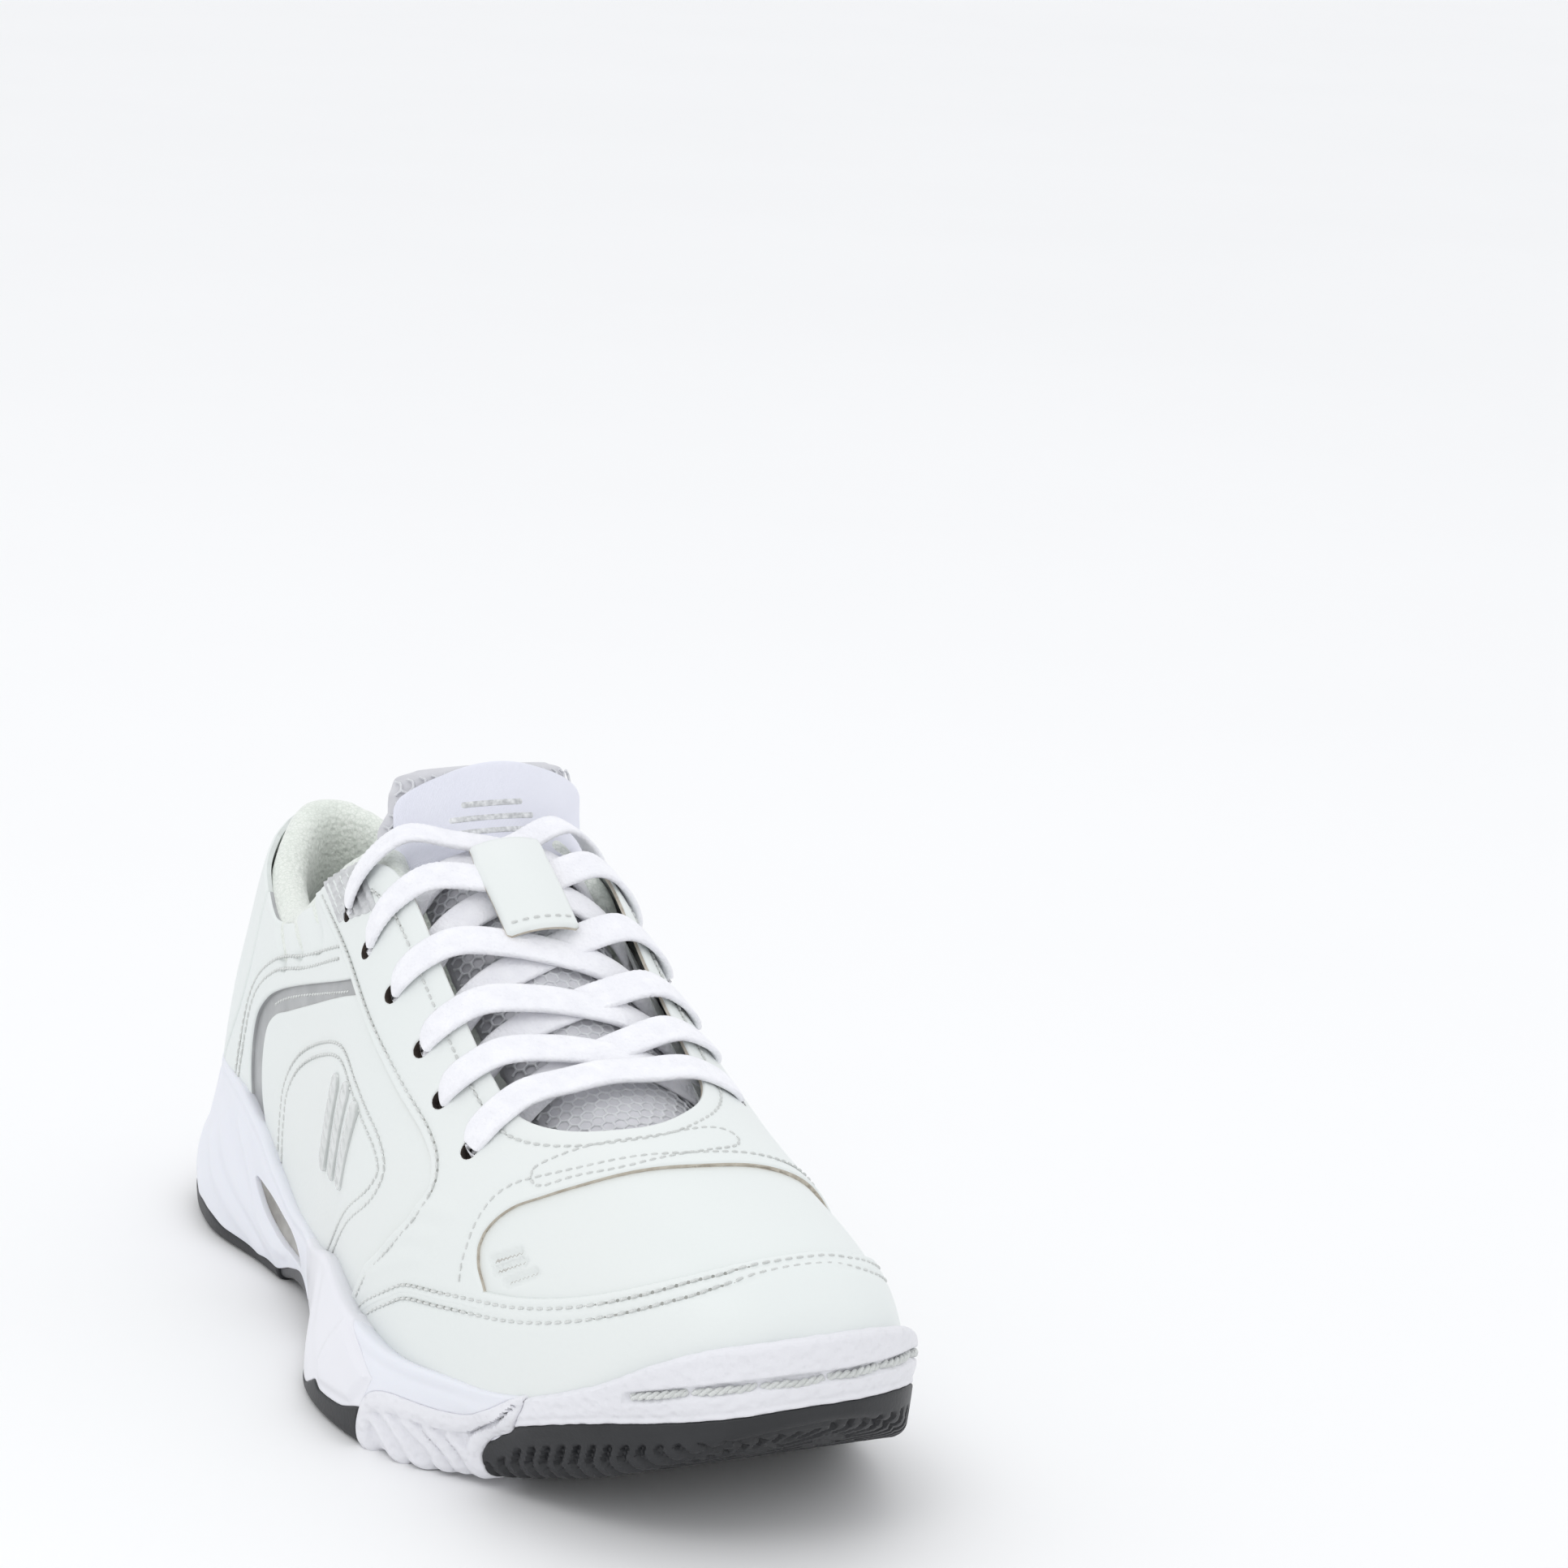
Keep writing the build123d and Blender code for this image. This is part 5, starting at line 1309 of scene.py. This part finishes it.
midsole = np.where(bumper < 0, np.maximum(midsole, 0.5), midsole)


def zigzag(v, period):
    """Triangle wave from 0 to 1."""
    return 2 * np.abs(v / period - np.floor(v / period + 0.5))


def groove_wave(phase, share):
    """1 in the grooves, 0 on the ribs between them, with sloping walls."""
    return np.clip((share - zigzag(phase, 1.0)) / 0.22, 0, 1)


tread = groove_wave((sole_t + 5.0 * zigzag(sole_x + 4, 17.0)) / 4.4, 0.42)
rolled = groove_wave((around + 4.5 * zigzag(wall_height + 4, 15.0)) / 4.6, 0.46)
on_wall = np.clip((wall_height + 9) / 1.5, 0, 1)
plain_top = np.clip((-rubber - 4.5) / 1.2, 0, 1)
toe_side = np.clip((sole_t - 205) / 8, 0, 1)
pivot = np.hypot(sole_t - 196, sole_x - 12)
rings = groove_wave(pivot / 4.2, 0.4)
in_pivot = np.clip((17 - pivot) / 1.0, 0, 1)
tread = tread * (1 - in_pivot) + rings * in_pivot
edge_frame = np.clip((-wall_height - 3.5) / 1.2, 0, 1)
rubber_relief = 0.25 - 1.25 * (tread * (1 - on_wall) * np.where(toe_side > 0, 1, edge_frame)
                              + rolled * on_wall * plain_top * toe_side)

ROLL = {"roll": 0.7, "depth": 0.5, "on": sole, "sharp": 38}
place(panel("heel_tread", np.maximum(rubber, sole_t - 86), rubber_relief, 2.2, [BLACK_RUBBER], **ROLL),
      SHOE, "outsole_rubber", "outsole_heel")
shank_ribs = -0.5 + 0.35 * np.cos(2 * math.pi * sole_x / 6.5) * np.clip(-wall_height / 4, 0, 1)
place(panel("arch_plate", np.maximum.reduce([rubber, 86 - sole_t, sole_t - 131]), shank_ribs, 2.0, [SHANK],
            **ROLL), SHOE, "shank_tpu", "shank_plate")
place(panel("forefoot_tread", np.maximum.reduce([rubber, 131 - sole_t, -outrigger]), rubber_relief, 2.2,
            [BLACK_RUBBER], **ROLL), SHOE, "outsole_rubber", "outsole_forefoot")


def wall_ridges(lines, width, power=2):
    """Soft ridges on the sole along lines of (t, height over the ground line)."""
    out = np.zeros(sole_t.shape)
    for line in lines:
        d, _ = distance(sole_t, wall_height, even(np.array(line, float), 0.8))
        out = np.maximum(out, np.exp(-(d / width) ** power))
    return out


deep = np.clip((-outrigger - 4.2) / 0.9, 0, 1)
rim = np.exp(-((outrigger + 2.4) / 1.5) ** 2)
fins = wall_ridges([through([(198.5, 9.0), (202, 6.5), (208, 0.0)]), through([(202.5, 11.5), (208, 7.5), (214.5, -1.0)]),
                    through([(210, 11.0), (216, 6), (219.5, -1.5)]), through([(216, 10.0), (220.5, 5), (223.5, -1.5)]),
                    through([(221.5, 9.0), (225, 4), (226.8, -1.5)])], 1.25, 4)
outrigger_relief = 0.45 + 0.55 * rim - 1.35 * deep * (1 - fins)
place(panel("outrigger_rubber", outrigger, outrigger_relief, 2.6, [PEBBLE_RUBBER], **ROLL), SHOE,
      "white_rubber", "lateral_outrigger")
raised = in_wall(np.array([(177, 25), (184, 22), (197, 17), (190.5, 8.8), (173, 7.6), (169, 12), (172, 19)], float))
facet_relief = 0.9 * np.clip(-raised / 1.8, 0, 1) - 0.35 * wall_ridges([through([(150, 24), (158, 15), (166, 9)])], 3.0)
place(panel("stabiliser_shell", stabiliser, facet_relief, 2.2, [WHITE_TPU, EVA], roll=0.5, depth=0.25, on=sole),
      SHOE, "white_tpu", "lateral_stabiliser")
waves = 0.95 * wall_ridges([through([(38, 22), (52, 14), (74, 5)]), through([(46, 28), (62, 18), (86, 7)])], 3.0)
waves += 0.8 * wall_ridges([through([(58, 33), (66, 26), (76, 15), (92, 7.5)])], 1.6)
waves += 0.6 * wall_ridges([through([(4, 24), (16, 18), (34, 9)])], 3.0)
lip_line = 0.35 * np.exp(-((sole_z - SIDEWALL(sole_t) + 3.2) / 1.1) ** 2) * np.clip((240 - sole_t) / 20, 0, 1)
fine_wave = 0.12 * np.sin(sole_t / 7.0 + sole_z / 3.0)
place(panel("midsole_shell", midsole, waves - lip_line + fine_wave, 2.2, [EVA], roll=0.4, depth=0.2, on=sole),
      SHOE, "midsole_foam", "midsole")
hollow = -1.3 - 0.9 * np.clip(-leaf / 3.5, 0, 1)
for side, sign in SIDES.items():
    own = np.where(sole.side(sign), -50.0, 50.0)
    place(panel(f"{side}_heel_window_lens", np.maximum(leaf, own), hollow, 1.2, [SMOKE], roll=0.4, depth=0.2,
                on=sole), SHOE, "smoke_tpu", f"{side}_heel_window")
seam_z = by_side([(240, 24), (262, 32), (271, 35.4), (283.4, 39.9), (289, 42.1)],
                 [(240, 26), (262, 33), (270, 36.8), (279.3, 40.3), (289, 42.1)])
seam_run = np.clip((sole_t - np.where(sole.side(-1), 268.5, 262)) / 1.0, 0, 1)
bumper_groove = np.exp(-((sole_z - seam_z) / 1.25) ** 4) * seam_run
rim_groove = np.exp(-((sole_z - rubber_top - 1.6) / 0.5) ** 2)
bumper_relief = (0.5 * np.clip((-bumper) / 5.0, 0, 1) - 1.5 * bumper_groove - 0.3 * rim_groove
                 + 0.12 * np.sin(around / 1.1 + 1.7 * np.sin(sole_z / 1.3)) * np.sin(sole_z / 0.9 + np.sin(around / 2.3)))
place(panel("pebbled_bumper", bumper, bumper_relief, 2.8, [PEBBLE_RUBBER], **ROLL), SHOE, "white_rubber",
      "toe_bumper")


def bumper_thread():
    """Seven long stitches of two-ply cord lying in the bumper's groove."""
    index = [i for i in range(sole.p.shape[0]) if sole.p[i, UNDER_COLUMNS, 0] > (269 if i < sole.half else 263)]
    line = []
    for i in index:
        column = sole_z[i, UNDER_COLUMNS:]
        j = UNDER_COLUMNS + int(np.argmin(np.abs(column - seam_z[i, UNDER_COLUMNS])))
        line.append(sole.p[i, j] + sole.n[i, j] * -0.35)
    line = even(np.array(line), 0.35)
    run = 0.35 * np.arange(len(line))
    count = 7
    length = run[-1] / count
    lines, ups = [], []
    for k in range(count):
        own = (run >= k * length + 0.5) & (run <= (k + 1) * length - 0.5)
        f = np.linspace(0, 1, 44)
        at = np.interp(f, [0, 1], [run[own][0], run[own][-1]])
        centre = np.stack([np.interp(at, run, line[:, a]) for a in range(3)], -1)
        tangent = np.gradient(centre, axis=0)
        tangent /= np.linalg.norm(tangent, axis=1, keepdims=True)
        up = np.tile([0.0, 0.0, 1.0], (len(f), 1))
        out = np.cross(tangent, up)
        if out[len(f) // 2, 0] < 0:
            out = -out
        bow = -0.9 + 1.1 * np.sin(math.pi * f) ** 0.5
        for ply in (0.0, math.pi):
            turn = 2 * math.pi * at / 4.2 + ply
            strand_line = (centre + out * bow[:, None] + 0.42 * (np.cos(turn)[:, None] * out
                                                               + np.sin(turn)[:, None] * up))
            lines.append(strand_line)
            ups.append(out)
    lines = rows(*np.moveaxis(np.array(lines), -1, 0))
    return tubes("bumper_thread", lines, np.full(44, 0.55 * MM), 7, [THREAD],
                 flat=to_row_vectors(np.array(ups)))


place(bumper_thread(), SHOE, "thread", "toe_bumper_thread")


# ---------------------------------------------------------------- badge, hidden parts
def capsule_field(a, b, radius):
    """Distance on the lateral side from a rounded bar between two side-view points."""
    d, _ = distance(T, Z, even(np.array([a, b], float), 0.6))
    return np.where(skin.side(-1), skin.true(d - radius), 50.0)


BADGE_BARS = [((126, 45), (132, 66)), ((136, 46), (142, 67)), ((146, 47), (151, 65))]
for k, (a, b) in enumerate(BADGE_BARS):
    bar = capsule_field(a, b, 2.7)
    dome = 0.75 + 0.45 * np.clip(-bar / 1.6, 0, 1) - 0.5 * np.exp(-((bar + 1.5) / 0.35) ** 2)
    shape = panel(f"badge_bar_{k}", bar, dome, 1.2, [BADGE], roll=0.5, depth=0.4)
    place(shape, SHOE, "badge_tpu", *(["lateral_badge"] if k == 0 else []))

HIDDEN_FINISHES = {
    "sockliner": SOCK, "lasting_board": CUT_EDGE, "heel_counter": LINING, "toe_puff": LINING,
    "quarter_lining": LINING, "vamp_lining": LINING, "lace_aglet_lateral": AGLET_FILM,
    "lace_aglet_medial": AGLET_FILM,
}
for node, material in HIDDEN_FINISHES.items():
    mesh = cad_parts[node].data
    mesh.materials.clear()
    mesh.materials.append(material)


# ---------------------------------------------------------------- collar
def collar_route(side, sign):
    """Grid coordinates along one half of the collar: from inside the throat, over the eyestay's
    corner and along the top line to the heel."""
    plan = [(139, sign * 26.3 - 0.8), (131, sign * 26.6 - 0.8), (123, sign * 27.2 - 0.8)]
    top = [(113, 116.6), (105, 113.0), (96, 107.0), (87, 99.4), (78, 92.4), (68, 87.6), (58, 86.2), (47, 88.6),
           (37, 92), (28, 96), (19, 99.2), (12, 100.4)]
    return np.vstack([skin.find("plan", 0, plan), skin.find("side", sign, top)])


def collar_pad():
    """Padded collar: a closed swept roll with the lining mesh, round the ankle and down its inside."""
    section = through([(36, 3.4), (26, 2.6), (14, 1.7), (5, 1.3), (0.5, 1.3), (-2.6, 1.0), (-4.8, 2.6),
                       (-5.4, 5.4), (-4.0, 8.2), (0, 9.9), (7, 10.4), (16, 9.8), (27, 7.8), (36, 5.8)],
                      2.0, closed=True)
    rings = []
    for side, sign in SIDES.items():
        half = []
        for k, (i, j) in enumerate(collar_route(side, sign)):
            pitch = np.linalg.norm(skin.dv[int(i), int(j)])
            reach = 0.42 if k == 0 else 0.55 if k == 1 else 0.7 if k == 2 else 1.0
            width = 0.75 if k < 2 else 1.0

            def spot(s):
                grid_at = np.array([[i, j + sign * s / pitch]])
                n = skin.sample(skin.n, grid_at)[0]
                return skin.sample(skin.p, grid_at)[0], n / np.linalg.norm(n)

            top, top_n = spot(0.0)
            below, _ = spot(5.0)
            up = (top - below) / np.linalg.norm(top - below)
            lowered = 3.5 if k < 2 else 1.5 if k == 2 else 0.0
            ring = []
            for s, depth in section:
                s = s * (reach if s > 0 else 1.0) + lowered
                if s >= 0:
                    p, n = spot(s)
                    ring.append(p - n * depth * width)
                else:
                    ring.append(top - up * s - top_n * depth * width)
            half.append(ring)
        rings.append(np.array(half if sign < 0 else half[::-1]))
    sweep = np.concatenate(rings)
    middle = sweep[:, np.abs(section[:, 0]) < 9].mean(1)
    run = np.concatenate([[0], np.cumsum(np.linalg.norm(np.diff(middle, axis=0), axis=1))])
    at = np.arange(0, run[-1], 1.6)
    fine = np.stack([np.stack([smooth(run, sweep[:, b, a])(at) for a in range(3)], -1)
                     for b in range(sweep.shape[1])], 1)
    for _ in range(10):
        fine[1:-1] = (fine[:-2] + 2 * fine[1:-1] + fine[2:]) / 4
    from_end = np.minimum(at, at[-1] - at)
    shrink = np.sqrt(np.clip(1 - (1 - np.clip(from_end / 7.0, 0, 1)) ** 2, 0.03, 1))
    head = fine.mean(1)
    fine = head[:, None] + (fine - head[:, None]) * shrink[:, None, None]
    n_rings, n_points = fine.shape[:2]
    faces = []
    for a in range(n_rings - 1):
        for b in range(n_points):
            c = (b + 1) % n_points
            faces.append((a * n_points + b, a * n_points + c, (a + 1) * n_points + c, (a + 1) * n_points + b))
    faces.append(tuple(reversed(range(n_points))))
    faces.append(tuple((n_rings - 1) * n_points + b for b in range(n_points)))
    return mesh_object("collar_padding", rows(*fine.reshape(-1, 3).T), faces, [COLLAR_MESH], sharp=80)


collar = soften(collar_pad(), 2.0, 0.8)
place(collar, SHOE, "collar_mesh", "collar_foam", "collar_lining")

# ---------------------------------------------------------------- lace ends inside the shoe
TAILS = {
    "lateral": (112.7, 85.1, [(-30.6, 88.0), (-32.35, 70.5), (-31.0, 50.0), (-22.3, 35.6), (-7.5, 28.1),
                              (7.0, 28.7)]),
    "medial": (121.0, 84.7, [(28.1, 88.0), (29.75, 71.5), (29.2, 51.5), (21.0, 36.4), (5.4, 28.4),
                             (-9.0, 28.9)]),
}
HELD = {"lateral": [(-25.9, 104.6), (-30.0, 94.0), (-30.6, 88.0)],
        "medial": [(23.3, 104.6), (27.5, 94.0), (28.1, 88.0)]}


def spline_points(points):
    """The points that a NURBS spline of order 3 follows through its control points."""
    curve = bpy.data.curves.new("route", "CURVE")
    curve.dimensions = "3D"
    spline = curve.splines.new("NURBS")
    spline.points.add(len(points) - 1)
    for target, p in zip(spline.points, points):
        target.co = (*p, 1)
    spline.order_u = 3
    spline.use_endpoint_u = True
    spline.resolution_u = 12
    holder = bpy.data.objects.new("route", curve)
    bpy.context.collection.objects.link(holder)
    bpy.context.view_layer.update()
    graph = bpy.context.evaluated_depsgraph_get()
    mesh = bpy.data.meshes.new_from_object(holder.evaluated_get(graph))
    line = np.array([v.co[:] for v in mesh.vertices])
    bpy.data.objects.remove(holder)
    return line


for side, (station, length, route) in TAILS.items():
    y = HALF_LENGTH - station
    points = [((FOOT_AXIS_X + x) * MM, y * MM, z * MM) for x, z in route]
    line = even(spline_points(points) / MM, 0.9)
    tangent = np.gradient(line, axis=0)
    flat = np.cross(tangent, [0, 1.0, 0])
    flat /= np.linalg.norm(flat, axis=1, keepdims=True)
    size = np.ones(len(line))
    tail = ribbon(f"{side}_lace_end", line, flat, 8.0 * size, 1.7 * size, [LACE])
    place(tail, SHOE, "lace_weave", f"lace_tail_{side}")
    top, _ = on_skin(*EYELETS[side][-1], 5.0)
    held = through([top] + [(FOOT_AXIS_X + x, y, z) for x, z in HELD[side]], 0.9)
    tangent = np.gradient(held, axis=0)
    flat = np.cross(tangent, [0, 1.0, 0])
    flat /= np.linalg.norm(flat, axis=1, keepdims=True)
    size = np.ones(len(held))
    place(ribbon(f"{side}_lace_held", held, flat, np.linspace(4.6, 8.0, len(held)), 1.7 * size, [LACE]),
          SHOE, "lace_weave")




# ---------------------------------------------------------------- camera, floor, light
def make_camera():
    """The photograph's viewpoint: 13.7 degrees above the floor, in front on the lateral side."""
    azimuth, elevation, roll = (math.radians(a) for a in (-28.127, 13.696, 3.198))
    back = Vector((math.sin(azimuth) * math.cos(elevation),
                   -math.cos(azimuth) * math.cos(elevation), math.sin(elevation)))
    right = (-back).cross(Vector((0, 0, 1))).normalized()
    up = right.cross(-back)
    rolled_right = math.cos(roll) * right + math.sin(roll) * up
    rolled_up = -math.sin(roll) * right + math.cos(roll) * up
    data = bpy.data.cameras.new("camera")
    data.lens = 112.0
    data.sensor_width = 36.0
    data.clip_start = 0.05
    camera = bpy.data.objects.new("camera", data)
    bpy.context.collection.objects.link(camera)
    turn = Matrix((rolled_right, rolled_up, back)).transposed().to_4x4()
    camera.matrix_world = Matrix.Translation(Vector((-0.4711, -1.0159, 0.4164))) @ turn
    bpy.context.scene.camera = camera


def area_light(name, position, size, power, target=(0, 0, 0.05)):
    data = bpy.data.lights.new(name, "AREA")
    data.shape = "DISK"
    data.size = size
    data.energy = power
    light = bpy.data.objects.new(name, data)
    bpy.context.collection.objects.link(light)
    light.location = position
    light.rotation_euler = (Vector(position) - Vector(target)).to_track_quat("Z", "Y").to_euler()


def make_studio():
    """Pale floor, pale surroundings and three large soft lights."""
    scene = bpy.context.scene
    scene.view_settings.view_transform = "Standard"
    world = bpy.data.worlds.new("studio")
    scene.world = world
    world.use_nodes = True
    background = world.node_tree.nodes["Background"]
    background.inputs["Color"].default_value = (0.97, 0.98, 1.0, 1)
    background.inputs["Strength"].default_value = 1.0
    area_light("key", (-0.7, -0.5, 1.3), 0.7, 2.0)
    area_light("top", (0.3, 0.5, 1.5), 1.0, 1.0)
    area_light("fill", (1.3, -0.8, 0.7), 1.0, 0.15)
    size = 60.0
    mesh = bpy.data.meshes.new("floor")
    mesh.from_pydata([(-size, -size, 0), (size, -size, 0), (size, size, 0), (-size, size, 0)], [],
                     [(0, 1, 2, 3)])
    floor = bpy.data.objects.new("floor", mesh)
    bpy.context.collection.objects.link(floor)
    mesh.materials.append(finish("floor", (0.93, 0.93, 0.93), 0.6, [("noise", 80, 0.02)],
                                 tint=(3, (0.92, 0.92, 0.92))))


make_camera()
make_studio()
